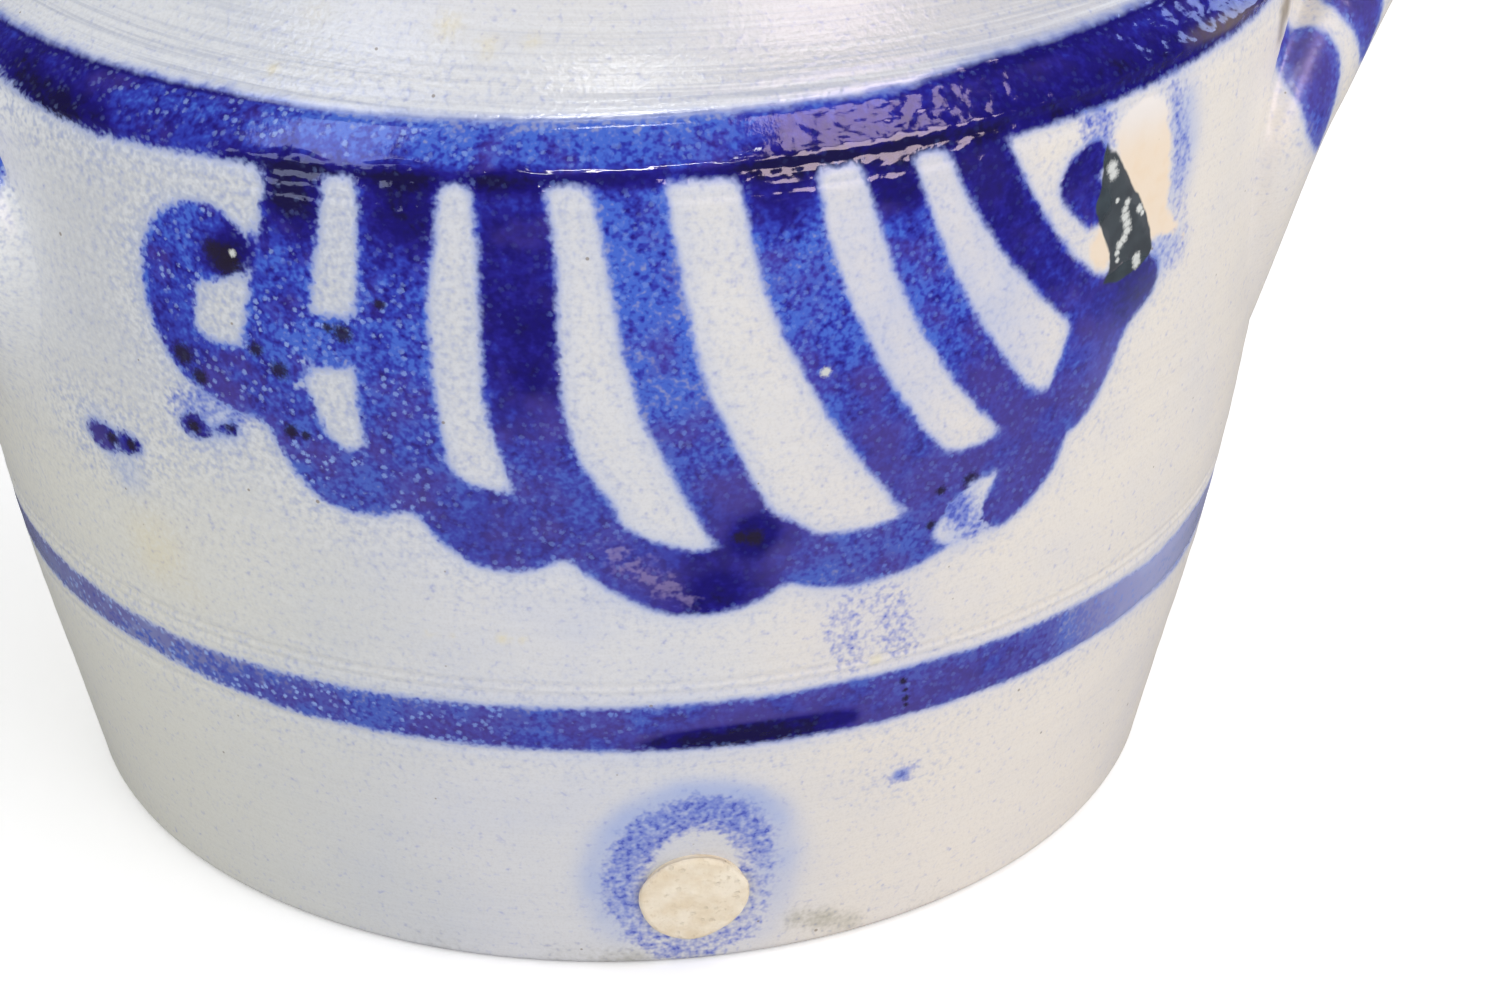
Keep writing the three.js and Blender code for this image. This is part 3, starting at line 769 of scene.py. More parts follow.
# Marks that the kiln and use have left: the blue breath round the tap hole, smears, straw stains,
# olive marks along the foot, a flaked scar with bare clay beside a slaty patch, and small flecks. Some
# are painted light: lilac patches are a painted reflection, and of two brown lines one is a painted
# reflection on the band and one is glaze pooled in the handle's crease with painted shade. Lines are
# like strokes, round marks are (degrees, height, radius, strength), and outlines are corners (degrees,
# height).
HALO = [
    [(-5.6, 15, 2.6, 0.55), (-6.5, 21, 3.0, 0.65), (-6.0, 31, 3.0, 0.7), (-3.6, 39.8, 3.2, 0.75),
     (0.2, 43.6, 3.4, 0.75), (3.7, 40.4, 3.2, 0.75), (5.5, 31.8, 2.4, 0.65), (5.8, 20, 1.8, 0.4),
     (5.0, 10, 2.2, 0.5), (1, 4.0, 2.0, 0.55), (-2.6, 5.6, 2.2, 0.55), (-4.9, 10.6, 2.4, 0.6)],
]
BREATH = [
    [(-7.0, 12, 1.5, 0.5), (-8.0, 22, 2, 0.7), (-7.2, 34, 2.5, 0.8), (-3.8, 44, 2.5, 0.85),
     (0.6, 46.6, 2.5, 0.9), (5.0, 42, 2.5, 0.85), (7.4, 32, 2, 0.7), (7.6, 19, 1.5, 0.5), (6.6, 9, 1, 0.4)],
    [(-9, 60, 2, 0.15), (-2, 58, 3, 0.2), (4, 56, 2, 0.12)],
    [(-24, 44, 4, 0.14), (-15, 46, 4, 0.18), (-10, 50, 3, 0.2)],
    [(11.4, 96, 4, 0.3), (13.4, 87, 5, 0.3), (15.4, 79, 4, 0.25)],
    [(16.4, 94, 3, 0.25), (17.6, 86, 3, 0.3), (18.0, 78, 2, 0.25)],
    [(10.4, 184, 1, 0.35), (12.3, 165, 2, 0.5), (15.6, 145, 2, 0.5), (19, 130, 1, 0.3)],
    [(17.2, 184, 1, 0.3), (20.4, 165, 2, 0.5), (24.6, 147, 2, 0.5), (28, 136, 1, 0.3)],
    [(21.0, 112, 1.5, 0.6), (21.4, 106, 1.5, 0.6)],
    [(-14, 97, 2, 0.2), (-9, 95, 2.5, 0.28), (-5.5, 95.5, 1.5, 0.15)],
    [(31.3, 187, 1, 0.4), (32.3, 183, 1.2, 0.5), (31.4, 178, 1, 0.3)],
    [(39.2, 186, 0.6, 0.45), (40.6, 179.7, 1.4, 0.75), (41.5, 174, 1.2, 0.8),
     (41.4, 164, 0.8, 0.7), (41.5, 158, 0.4, 0.4)],
    [(39.8, 151.4, 1.4, 0.75), (41.8, 150.2, 1.2, 0.6)],
    [(-38.4, 133, 2, 0.7), (-37.6, 133, 2, 0.7)],
    [(-48.6, 111.5, 1.4, 0.5), (-50.5, 120.5, 2, 0.4)],
]
SMEARS = [
    [(12.2, 95.5, 2.6, 0.34), (11.6, 88, 2.6, 0.44), (12.6, 79.5, 2.2, 0.4)],
    [(15.0, 93, 2.4, 0.34), (16.0, 86, 2.8, 0.46), (17.0, 79.5, 1.8, 0.38)],
    [(20.2, 113.6, 1.0, 0.7), (21.4, 108, 1.6, 0.75), (22.4, 104.5, 1.0, 0.7)],
    [(20.5, 110.8, 1.2, 1.1), (21.3, 108.6, 0.8, 1.0)],
    [(40.0, 150.8, 2.6, 0.4), (42.2, 149.2, 2.4, 0.35)],
    [(39.4, 187, 0.6, 0.5), (40.2, 180, 0.8, 0.6), (41.2, 171, 0.9, 0.65), (41.5, 162, 0.6, 0.5),
     (41.8, 156, 0.4, 0.4)],
    [(30.1, 187.1, 1.6, 0.6), (30.9, 184.5, 2.4, 0.7), (31.7, 180.7, 1.6, 0.6)],
    [(-41, 134, 2.2, 0.5), (-38.4, 135, 2.6, 0.6), (-35.4, 134.4, 2.0, 0.5)],
    [(18.7, 44.4, 0.7, 0.6), (19.1, 44.4, 0.7, 0.6)],
]
BARE = [
    (32.6, 180.0), (33.0, 185.0), (34.4, 187.8), (36.8, 187.2), (38.6, 183.6), (39.6, 177.0),
    (40.0, 168.4), (40.2, 160.6), (41.6, 156.4), (43.1, 151.4), (43.6, 149.3), (41.8, 152.9),
    (39.3, 154.4), (38.3, 154.4), (36.2, 163.0), (34.0, 173.0),
]
BARE_FRAY = (34.5, 186, 6, 2.2)
SLATE = [
    (32.3, 180.4), (33.3, 176.7), (34.5, 172.1), (35.8, 167.0), (36.8, 163.4), (37.8, 158.9),
    (38.5, 154.4), (38.7, 152.2), (37.9, 150.8), (36.8, 149.5), (34.8, 149.0), (33.1, 149.6),
    (33.6, 151.8), (33.6, 154.1), (33.3, 157.0), (32.6, 160.7), (31.8, 164.4), (31.6, 166.9),
    (31.8, 170.2), (31.9, 176.1),
]
SLIVER = [
    (31.7, 165.2), (31.2, 162.2), (31.2, 157.6), (31.9, 153.2), (33.2, 152.5), (33.8, 154.6),
    (33.5, 158.0), (32.6, 161.6),
]
PEELED = [
    (22.2, 115.0), (23.2, 115.6), (24.4, 116.4), (23.5, 112.4), (22.3, 107.8), (21.4, 104.8),
    (20.8, 102.6), (19.6, 102.9), (18.8, 106.2), (20.0, 108.4), (20.4, 111.2), (21.4, 112.6),
]
# The height whose radius turns the outlines' degrees into millimetres.
OUTLINE_HEIGHT = 165.0
STAINS = [
    (-31, 212, 5, 0.5), (-19.6, 211.5, 4, 0.8), (-16, 208.6, 3, 0.8), (-12.5, 209.5, 2.6, 0.8),
    (-33, 203.5, 1.6, 0.9), (-32.6, 199.4, 1.2, 1.0), (-48, 90, 10, 0.45), (-43, 84, 6, 0.3),
    (-46, 100, 12, 0.4), (-21.5, 89.3, 1.4, 0.8), (-19.8, 89.4, 1.2, 0.7), (-15.6, 89.8, 1.8, 0.8),
    (-14.0, 89.7, 1.4, 0.7), (14.8, 77.6, 1.6, 1.3),
]
# Olive marks, most of them low along the foot, with one small one higher up.
OLIVE_MARKS = [
    (10, 9, 4, 0.5), (13, 7, 4, 0.6), (16, 4, 4, 0.5), (-13, 2, 6, 0.3), (-8, 1, 6, 0.45), (-5, 2, 4, 0.4),
    (0, 0, 6, 0.4), (-25, 0.5, 9, 0.3), (25, 0.5, 9, 0.25), (-20.6, 36.4, 0.7, 0.6),
]
PALE = [
    (21.3, 109.6, 4.0, 0.5), (22.6, 105, 3.4, 0.5), (-30.7, 144.6, 1.5, 0.7), (-29.4, 151.6, 1.8, 0.35),
    (-28.4, 154.4, 1.4, 0.3), (-27.6, 141.5, 1.4, 0.3), (-37.6, 133.6, 2.2, 0.5),
]
# Lilac patches on the blue are a painted reflection of a window, broken up by the glaze's skin.
REFLECTION_MARKS = [
    (-7.2, 112, 4.5, 0.8), (-5, 107, 5, 0.9), (-2.8, 102.4, 4.5, 0.8), (-0.6, 99, 4, 0.6),
    (-22.1, 128.6, 5.0, 0.35), (-25.2, 128.8, 4.0, 0.3),
]
# Brown lines: the first is a painted reflection along the lower edge of the band at the right, the second
# brown glaze pooled in the crease beside the right handle, darkened there as painted shade.
BROWN = [
    [(42, 192.7, 0.3, 0.3), (46, 192.2, 0.7, 0.6), (49.2, 191.8, 0.7, 0.6), (52.4, 191.2, 0.3, 0.3)],
    [(61.8, 194, 3.2, 1.0), (60.4, 188, 2.8, 1.0), (59.0, 183, 1.8, 0.9), (58.3, 179.5, 0.6, 0.7)],
]
# Small round marks: (degrees, height, radius). Black ones are burnt spots in the blue, white ones
# are grit and flaked glaze, and the last white one is a painted glint on the scroll's dark pool.
BURNT = [
    (-40.0, 146.3, 2.3), (-38.7, 141.9, 1.7), (-33.3, 151.1, 1.5), (-31.5, 147.3, 1.8), (-26.1, 157.5, 1.9),
    (-27.2, 158.3, 1.0), (-23.1, 164.5, 1.1), (-31.1, 133.7, 1.5), (-29.9, 133.2, 1.0), (-35.0, 169.4, 3.2),
    (-36.0, 171.2, 2.2), (21.8, 116.1, 1.7), (19.1, 115.4, 1.0), (18.5, 107.9, 1.0), (-49.6, 118.6, 1.6),
    (-47.4, 119.0, 1.3), (-40.1, 129.2, 1.5), (-36.6, 131.6, 1.2), (3.9, 112.4, 1.8), (2.8, 112.8, 1.4),
    (17.6, 70.4, 0.8), (17.9, 68.0, 0.6), (18.1, 65.6, 0.8), (18.2, 63.8, 0.6),
]
GRIT_AND_GLINT = [
    (32.9, 174.2, 1.3), (33.1, 172.6, 1.2), (35.0, 165.4, 0.8), (34.8, 164.0, 0.9), (34.9, 162.4, 1.1),
    (35.2, 160.8, 1.1), (35.3, 159.2, 1.1), (35.0, 157.8, 1.0), (34.6, 156.8, 1.0), (36.5, 162.8, 0.9),
    (36.9, 161.6, 0.6), (34.4, 155.3, 0.7), (36.8, 152.2, 1.2), (36.9, 151.0, 1.1), (33.8, 166.6, 0.6),
    (34.5, 153.6, 0.6), (8.9, 147.0, 1.0), (-34.4, 171.4, 0.8),
]


def soft_lines(spots, marks, fade):
    """Strength of soft marks along brushed lines: full within each line, then fading over a distance."""
    amount = np.zeros(len(spots))
    for mark in marks:
        outside, load = nearest(spots, stroke_line(mark))
        amount = np.maximum(amount, load * np.exp(-((np.maximum(outside, 0) / fade) ** 2)))
    return amount


def outside_shape(shape):
    """Distance of the pot's vertices outside a closed outline in millimetres, negative within it."""
    scale = math.radians(1) * wall_radius(OUTLINE_HEIGHT)
    corners = np.array(shape, float) * (scale, 1)
    corners = through(np.vstack([corners, corners[:1]]), 1.0)
    flat = np.stack([degrees * scale, height], 1)
    away = np.full(len(flat), 1e3)
    near = np.flatnonzero(np.linalg.norm(flat - corners.mean(0), axis=1) < FAR_OFF)
    some = flat[near]
    closest = np.full(len(near), 1e3)
    within = np.zeros(len(near), bool)
    for start, end in zip(corners[:-1], corners[1:]):
        along = end - start
        share = np.clip(((some - start) @ along) / max(along @ along, 1e-9), 0, 1)
        closest = np.minimum(closest, np.linalg.norm(some - start - share[:, None] * along, axis=1))
        spans = (start[1] > some[:, 1]) != (end[1] > some[:, 1])
        rise = np.where(end[1] == start[1], 1e-9, end[1] - start[1])
        within ^= spans & (some[:, 0] < start[0] + (some[:, 1] - start[1]) * along[0] / rise)
    away[near] = np.where(within, -closest, closest)
    return away


def set_attributes(mesh, marks):
    for name, values in marks.items():
        layer = mesh.attributes.new(name, "FLOAT", "POINT")
        layer.data.foreach_set("value", np.asarray(values, np.float32))


bare = np.minimum(outside_shape(BARE) + blobs(spots, [BARE_FRAY]), outside_shape(SLIVER))
distances = {
    "cobalt": np.maximum(edge, -outside_shape(PEELED)),
    "bare": bare,
    "slate": outside_shape(SLATE),
}
amounts = {
    "wash": soft_lines(spots, HALO + SMEARS, 2.2),
    "breath": soft_lines(spots, BREATH, 5.4),
    "brown": soft_lines(spots, BROWN, 1.2),
    "stain": blobs(spots, STAINS),
    "olive_marks": blobs(spots, OLIVE_MARKS),
    "pale": blobs(spots, PALE),
    "painted_reflection": blobs(spots, REFLECTION_MARKS),
}
marks = {"load": coat, "inside": np.where(outer, 0, 1)}
for name, values in distances.items():
    marks[name] = np.where(outer, np.clip(values, WELL_INSIDE, FAR_OFF), FAR_OFF)
for name, values in amounts.items():
    marks[name] = np.where(outer, values, 0)
set_attributes(pot.data, marks)

# The glaze is a thin glass of salt and clay with an orange-peel skin. Over cobalt it is deep and
# glossy, pale where the salt has speckled it, and navy where the paint has pooled.
COOL_GREY = colour(203, 205, 207)
MID_GREY = colour(218, 217, 218)
WARM_GREY = colour(230, 222, 212)
STIPPLE_BLUE = colour(166, 176, 206)
STRAW = colour(226, 216, 180)
OLIVE_MARK_COLOUR = colour(150, 145, 120)
BREATH_BLUE = colour(142, 166, 222)
WASH_BLUE = colour(78, 102, 202)
FRINGE_BLUE = colour(112, 140, 218)
PALE_BLUE = colour(138, 146, 196)
SPECKLE_BLUE = colour(112, 140, 214)
SPECKLE_PALE = colour(152, 176, 230)
THIN_BLUE = colour(70, 104, 205)
MID_BLUE = colour(48, 60, 176)
DEEP_BLUE = colour(33, 26, 135)
NAVY = colour(22, 12, 110)
POOL_BLACK = colour(18, 10, 66)
BURNT_BLACK = colour(34, 26, 44)
PURPLE_AND_SHEEN = colour(86, 70, 160)
MUTED_BLUE = colour(84, 78, 130)
REFLECTION_LILAC = colour(146, 130, 172)
MILKY_BLUE = colour(178, 182, 220)
CREAM = colour(228, 210, 188)
CREAM_PALE = colour(226, 220, 216)
CREAM_SHADE = colour(226, 200, 166)
SLATE_GREY = colour(62, 72, 78)
SLATE_DARK = colour(44, 50, 58)
SLATE_WHITE = colour(206, 208, 204)
TURNED_LIGHT = colour(234, 236, 240)
LOW_GREY = colour(222, 220, 207)
LOW_WARM = colour(236, 227, 216)
GLARE_WHITE = colour(238, 239, 238)
SALT_WHITE_AND_PEEL_HIGHLIGHT = colour(238, 240, 244)
TURNED_DARK = colour(172, 179, 200)
INNER_BROWN = colour(150, 138, 120)
INNER_GREY = colour(176, 168, 154)
FLECK_BROWN = colour(128, 112, 92)
BROWN_GLAZE_SHADE_AND_REFLECTION = colour(132, 116, 92)

level, side = glaze.height_and_side()
cobalt = glaze.attribute("cobalt")
load = glaze.attribute("load")
inside = glaze.attribute("inside")
breath = glaze.attribute("breath")
wash = glaze.attribute("wash")
pale = glaze.attribute("pale")
painted_reflection = glaze.attribute("painted_reflection")

fine = glaze.grain(0.55, 1.5)
peel = glaze.grain(1.3, 1.0, shift=7.0)
worms = glaze.grain(2.2, 0.5, stretch=(1.5, 1.5, 0.8), shift=4.0)
small = glaze.grain(3.6, 1.5, shift=9.0)
clumps = glaze.grain(9, 2, shift=6.0)
broad = glaze.grain(20, 3, shift=3.0)
wide = glaze.grain(60, 2, shift=11.0)
rings = glaze.grain(0.7, 2, stretch=(90, 90, 1))
peel_dots = peel.rise(0.42, 0.68)
dot_away, dot_chance = glaze.cells(1.75, shift=5.0)
round_dots = (0.44 - dot_away + (fine - 0.5) * 0.5).rise(0.0, 0.26) * dot_chance.rise(0.0, 0.5)

# Where things are: sides, the low wall, the turned shoulder and its groove, and how near the blue is.
leftness = 1 - side.rise(-120.0, 10.0)
rightness = side.rise(-30.0, 70.0)
far_left = 1 - side.rise(-118.0, -40.0)
low_wall = 1 - level.rise(95.0, 150.0)
low_right = side.rise(20.0, 60.0) * (1 - side.rise(80.0, 110.0)) * (1 - level.rise(45.0, 75.0))
# Painted glare: a whitish wash on the far left of the belly, below the band, where the left handle's root
# glares.
painted_glare = (1 - side.rise(-133.0, -112.0)) * level.rise(105.0, 150.0) * (1 - level.rise(184.0, 192.0))
unsagged = level - side * SAG["Sag Slope"]
shoulder = unsagged.rise(198.5, 199.5) * (1 - unsagged.rise(206.0, 220.0) * 0.7)
turned = 0.06 + shoulder * (0.22 + 0.22 * (1 - unsagged.rise(202.0, 208.0)))
groove = unsagged.rise(197.6, 198.8) * (1 - unsagged.rise(200.4, 202.0))
upper_line = unsagged.rise(198.7, 199.1) * (1 - unsagged.rise(199.4, 199.8))
near_blue = 1 - cobalt.rise(-2.0, 16.0)
furry = (1.3 + leftness * 1.8) * (1 - groove * 0.7)
ragged = cobalt + (peel - 0.5) * furry + (small - 0.5) * 1.2 + (pale * (peel + small)) * 7
fringe = 1 - ragged.rise(-0.4, 1.3)
body = 1 - ragged.rise(-1.0, 0.6)
unpainted = 1 - body

salted = leftness * (0.35 + near_blue * 0.65) * level.rise(40.0, 130.0)
stippled = near_blue * 0.25 + salted * 0.5 + (clumps - 0.5) * 0.25
stain = glaze.attribute("stain") * (0.5 + clumps) + (peel - 0.5) * 0.8
olive_marks = glaze.attribute("olive_marks") + (peel - 0.5) * 0.6
ground = glaze.layers(MID_GREY, [
    ((rightness + (wide - 0.5) * 0.8).rise(0.1, 0.9), WARM_GREY),
    ((leftness * 0.9 + (wide - 0.5) * 0.8).rise(0.1, 0.9), COOL_GREY),
    ((broad - 0.35).rise(0.0, 0.5) * 0.1, BREATH_BLUE),
    ((1 - cobalt.rise(0.0, 5.0)) * 0.2, BREATH_BLUE),
    (far_left * low_wall * 0.85, LOW_GREY),
    (low_right * 0.6, LOW_WARM),
    # painted glare at the far left
    (painted_glare * (0.3 + broad * 0.8), GLARE_WHITE),
    (peel_dots * stippled.most(0.0), STIPPLE_BLUE),
    # whitish speckle where the peel noise is low, most on the salted left: salt speckle, and partly a
    # painted highlight on the orange-peel skin
    ((1 - peel).rise(0.5, 0.7) * (0.03 + salted * 0.35), SALT_WHITE_AND_PEEL_HIGHLIGHT),
    (shoulder * leftness * 0.75, TURNED_LIGHT),
    (shoulder * rightness * 0.45, TURNED_DARK),
    (rings.rise(0.48, 0.68) * turned, TURNED_LIGHT),
    ((1 - rings).rise(0.5, 0.7) * turned, TURNED_DARK),
    ((fine - 0.42).rise(0.0, 0.35) * 0.08, FLECK_BROWN),
    (stain.rise(0.15, 1.1) * 0.7, STRAW),
    (olive_marks.rise(0.1, 0.9) * 0.7, OLIVE_MARK_COLOUR),
    ((breath * (0.6 + clumps * 0.8)).rise(0.0, 1.2) * 0.75, BREATH_BLUE),
    ((wash + (peel - 0.5) * 1.5).rise(0.1, 1.05) * 0.85, WASH_BLUE),
    ((wash * 0.9 + (peel - 0.5) * 2.4 + (fine - 0.5) * 0.8).rise(0.85, 1.2) * 0.6, MID_BLUE),
    (fringe * 0.65, FRINGE_BLUE),
])

thin = 1 - load.rise(0.1, 0.9)
thinner = 1 - load.rise(0.7, 1.1)
depth = load + (0.5 - peel) * (0.7 + thin * 1.4) + (small - 0.5) * (0.8 + thin * 0.5)
depth = depth + (clumps - 0.5) * 0.8 - (cobalt + 2.2).rise(0.0, 2.4) * 0.3
lower = 1 - level.rise(115.0, 165.0)
# Near the right handle the blue turns purple as a painted sheen, over the purple that clumps and the lower
# wall have.
purple_and_sheen = clumps + rightness * 0.1 + lower * 0.14 + side.rise(112.0, 135.0) * 0.25
crowd = (small * 0.6 + clumps * 0.6).rise(0.48, 0.66) * (thin * 0.9 + 0.1) * (0.6 + leftness * 0.8)
rim = (cobalt + 2.4).rise(0.0, 2.0)
speckle = glaze.mix(leftness, SPECKLE_BLUE, SPECKLE_PALE)
blue = glaze.layers(PALE_BLUE, [
    (depth.rise(-0.7, -0.1), THIN_BLUE),
    (depth.rise(0.0, 0.45), MID_BLUE),
    (depth.rise(0.4, 0.8), DEEP_BLUE),
    (depth.rise(0.75, 1.1), NAVY),
    (depth.rise(1.05, 1.6), POOL_BLACK),
    (purple_and_sheen.rise(0.5, 0.8) * thinner * 0.5, PURPLE_AND_SHEEN),
    (lower * thinner * 0.32, MUTED_BLUE),
    (lower * side.rise(72.0, 114.0) * 0.75, MILKY_BLUE),
    (round_dots * (crowd + rim * 0.35).least(1.0) * 0.85, speckle),
    # painted reflection: lilac patches broken up by the peel and wrinkles
    ((painted_reflection * (peel + worms - 0.55)).rise(0.25, 0.6) * 0.55, REFLECTION_LILAC),
    (upper_line * 0.8, NAVY),
])


def sagged(points):
    """Moves places in millimetres up or down as the kiln did."""
    points = points.copy()
    points[:, 2] += SAG["Sag Slope"] * points[:, 0] * sag_share(points[:, 2])
    return points


def small_marks(marks, softness):
    """Share of a surface that small round marks cover, with ragged edges."""
    share = 0.0
    for angle, height, radius in marks:
        spot = sagged(on_wall([angle], [height]))[0]
        away = glaze.away_from(spot) * (1 / radius) + (fine - 0.5) * 1.2
        share = (1 - away.rise(1 - softness, 1 + softness)).most(share)
    return share


bare_edge = glaze.attribute("bare") + (small - 0.5) * 3.0 + (peel - 0.5) * 1.0
bare_share = 1 - bare_edge.rise(-1.2, 0.5)
cream = glaze.mix(small.rise(0.45, 0.8) * 0.4, CREAM, CREAM_SHADE)
cream = glaze.mix(level.rise(176.0, 188.0) * 0.9, cream, CREAM_PALE)
slate_share = 1 - (glaze.attribute("slate") + (small - 0.5) * 1.4).rise(-0.3, 0.3)
fleck_away, fleck_chance = glaze.cells(9, shift=2.0)
flecks = (0.03 + 0.03 * fleck_chance - fleck_away).rise(0.0, 0.02) * unpainted
surface = glaze.layers(ground, [
    (body, blue),
    # brown: a painted reflection on the band, and pooled glaze with painted shade in the handle's crease
    (glaze.attribute("brown") * (0.6 + small * 0.5), BROWN_GLAZE_SHADE_AND_REFLECTION),
    (bare_share, cream),
    (slate_share, glaze.mix(small.rise(0.3, 0.7) * 0.5, SLATE_GREY, SLATE_DARK)),
    (small_marks(BURNT, 0.55) * body * 0.9, BURNT_BLACK),
    # white grit and flakes, and one painted glint on the scroll's pool
    (small_marks(GRIT_AND_GLINT, 0.5), SLATE_WHITE),
    (flecks * 0.7, FLECK_BROWN),
    (inside * 0.75, glaze.mix(broad, INNER_BROWN, INNER_GREY)),
])

roughness = 0.42 - body * (0.31 - side.rise(118.0, 135.0) * 0.3) - shoulder * unpainted * 0.2
roughness = roughness + bare_share * 0.45 + slate_share * 0.1 + (small - 0.5) * 0.1
wrinkles = worms * (0.12 + body * load.rise(0.6, 0.95) * 1.5)
relief = wrinkles + fine * 0.06 + peel * unpainted * leftness * 0.25
relief = relief + shoulder * unpainted * (rings * 0.2 + peel * 0.35)
skin = glaze.bump(relief, 0.45, 0.7)
thick_paint = glaze.bump(body, 0.15, 0.5, under=skin)
glass = {"Base Color": surface, "Roughness": roughness, "Normal": thick_paint}
glaze.finish("ShaderNodeBsdfPrincipled", glass)

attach(pot, "pot")
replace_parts(pot, "pot_body")


# Each handle is a pulled roll of clay bent to an ear, with its two ends pressed on to the wall and
# smeared down with a thumb, so the joint shows only as a soft hollow. Cobalt dabs cross the roll.
ROLL_HALF_THICKNESS = 8.8
WIDEST_HEIGHT = 182.0
HANDLE_RING_STEP = 1.6
HANDLE_SIDES = 40
# From a root to the crown: (degrees round from +X, height, reach beyond the wall, half width, hug),
# where a hug of 1 lays the roll's flat side along the wall, and 0 along the ear.
HANDLE_HALF_WAY = [
    (22, 109, -9.0, 9.0, 1.0),
    (25.5, 155, 0.5, 21.0, 1.0),
    (19, 177, 9.5, 14.0, 0.7),
    (11, 199, 23.0, 10.2, 0.0),
]
HANDLE_CROWN = (0, 213, 32.6, 10.2, 0.0)
ROOT_SKIRT = {
    "angle": 25.0, "height": 150.0, "half_width": 33.0, "half_height": 52.0, "sink": 2.6, "rise": 3.2,
}
SKIRT_SIDES = 48
SKIRT_BELTS = 24
REMESH_SIZE = 1.25
SMOOTHING_ROUNDS = 14
DAB_EDGE = 4.5
# A dab is a line of (x, y, height, half width, load) in millimetres on the right-hand roll.
DABS = [
    [(125, -84, 188, 1.5, 0.6), (130.5, -80, 181, 5, 0.6), (134.5, -79, 175, 6.6, 0.7),
     (137.2, -78, 169, 6.9, 0.7), (138.6, -77, 162, 5.8, 0.5), (140, -72.5, 153.5, 1.8, 0.4)],
    [(142, -67, 193, 4.5, 0.6), (146.5, -67.5, 185, 7, 0.9),
     (151, -66, 177, 6, 0.7), (152.5, -64, 168, 2, 0.5)],
    [(160, -52, 198, 3, 0.6), (167, -52, 192, 5.5, 0.8),
     (170, -48, 183, 5.5, 0.7), (168, -43, 176, 2.5, 0.5)],
    [(172, -38, 210, 3, 0.6), (180, -33, 206, 5.5, 0.8),
     (183, -28, 197, 5.5, 0.7), (180, -24, 189, 2.5, 0.5)],
    [(181, -8, 222, 3, 0.6), (190, -3, 218, 5.5, 0.8), (192, 3, 210, 5.5, 0.7), (189, 7, 202, 2.5, 0.5)],
    [(172, 24, 212, 3, 0.6), (181, 29, 207, 5.5, 0.8), (183, 33, 198, 5.5, 0.7), (180, 36, 189, 2.5, 0.5)],
    [(160, 48, 200, 3, 0.6), (166, 52, 193, 5.5, 0.8), (168, 54, 184, 5.5, 0.7), (164, 56, 176, 2.5, 0.5)],
    [(142, 64, 194, 4, 0.6), (147, 67, 186, 6.5, 0.9), (151, 66, 177, 6, 0.7), (152, 65, 168, 2, 0.5)],
    [(126, 83, 187, 1.5, 0.6), (131, 80, 180, 5, 0.6), (135, 79, 174, 6.6, 0.7), (138, 78, 166, 6.2, 0.6),
     (140, 73, 155, 1.8, 0.4)],
]
# The crease's brown, glaze pooled there with painted shade, is kept to the parts of a handle that
# are this close to the wall.
CREASE_BROWN_REACH = 16.0


def beyond_wall(angle, height, reach):
    """Place in millimetres by degrees round from +X, height, and reach beyond the wall."""
    radius = wall_radius(min(height, WIDEST_HEIGHT)) + reach
    turn = math.radians(angle)
    return np.array([radius * math.cos(turn), radius * math.sin(turn), height])


def ear_roll():
    """Points and faces of the closed roll, on the +X side."""
    mirrored = [(-row[0], *row[1:]) for row in reversed(HANDLE_HALF_WAY)]
    rows = [*HANDLE_HALF_WAY, HANDLE_CROWN, *mirrored]
    line = through([[*beyond_wall(*row[:3]), *row[3:]] for row in rows], HANDLE_RING_STEP)
    forward = np.gradient(line[:, :3], axis=0)
    forward /= np.linalg.norm(forward, axis=1)[:, None]
    rise = beyond_wall(*HANDLE_CROWN[:3]) - beyond_wall(0, *HANDLE_HALF_WAY[2][1:3])
    ear_face = np.array([rise[2], 0, -rise[0]]) / np.linalg.norm(rise)
    wall_face = line[:, :3] * (1, 1, 0)
    wall_face /= np.linalg.norm(wall_face, axis=1)[:, None]
    hug = line[:, 4:5]
    thickness = ear_face * (1 - hug) + wall_face * hug
    thickness -= forward * (thickness * forward).sum(1)[:, None]
    thickness /= np.linalg.norm(thickness, axis=1)[:, None]
    width = np.cross(forward, thickness)
    turn = np.linspace(0, 2 * math.pi, HANDLE_SIDES, endpoint=False)[None, :, None]
    points = line[:, None, :3] + np.sin(turn) * ROLL_HALF_THICKNESS * thickness[:, None]
    points = points + np.cos(turn) * line[:, None, 3:4] * width[:, None]
    last = (len(line) - 1) * HANDLE_SIDES
    ends = [range(HANDLE_SIDES), reversed(range(last, last + HANDLE_SIDES))]
    return points.reshape(-1, 3), ring_faces(len(line), HANDLE_SIDES) + ends


def root_skirt(way):
    """Points and faces of the thin lens of clay that is smeared out round a handle's root."""
    points = []
    for belt in range(SKIRT_BELTS + 1):
        lift = math.cos(math.pi * belt / SKIRT_BELTS)
        spread = math.sin(math.pi * belt / SKIRT_BELTS)
        for step in range(SKIRT_SIDES):
            turn = 2 * math.pi * step / SKIRT_SIDES
            height = ROOT_SKIRT["height"] + ROOT_SKIRT["half_height"] * spread * math.sin(turn)
            arc = ROOT_SKIRT["half_width"] * spread * math.cos(turn)
            angle = math.radians(way * ROOT_SKIRT["angle"] + math.degrees(arc / wall_radius(height)))
            radius = wall_radius(height) - ROOT_SKIRT["sink"] + ROOT_SKIRT["rise"] * lift
            points.append((radius * math.cos(angle), radius * math.sin(angle), height))
    return np.array(points), ring_faces(SKIRT_BELTS + 1, SKIRT_SIDES, turned=True)


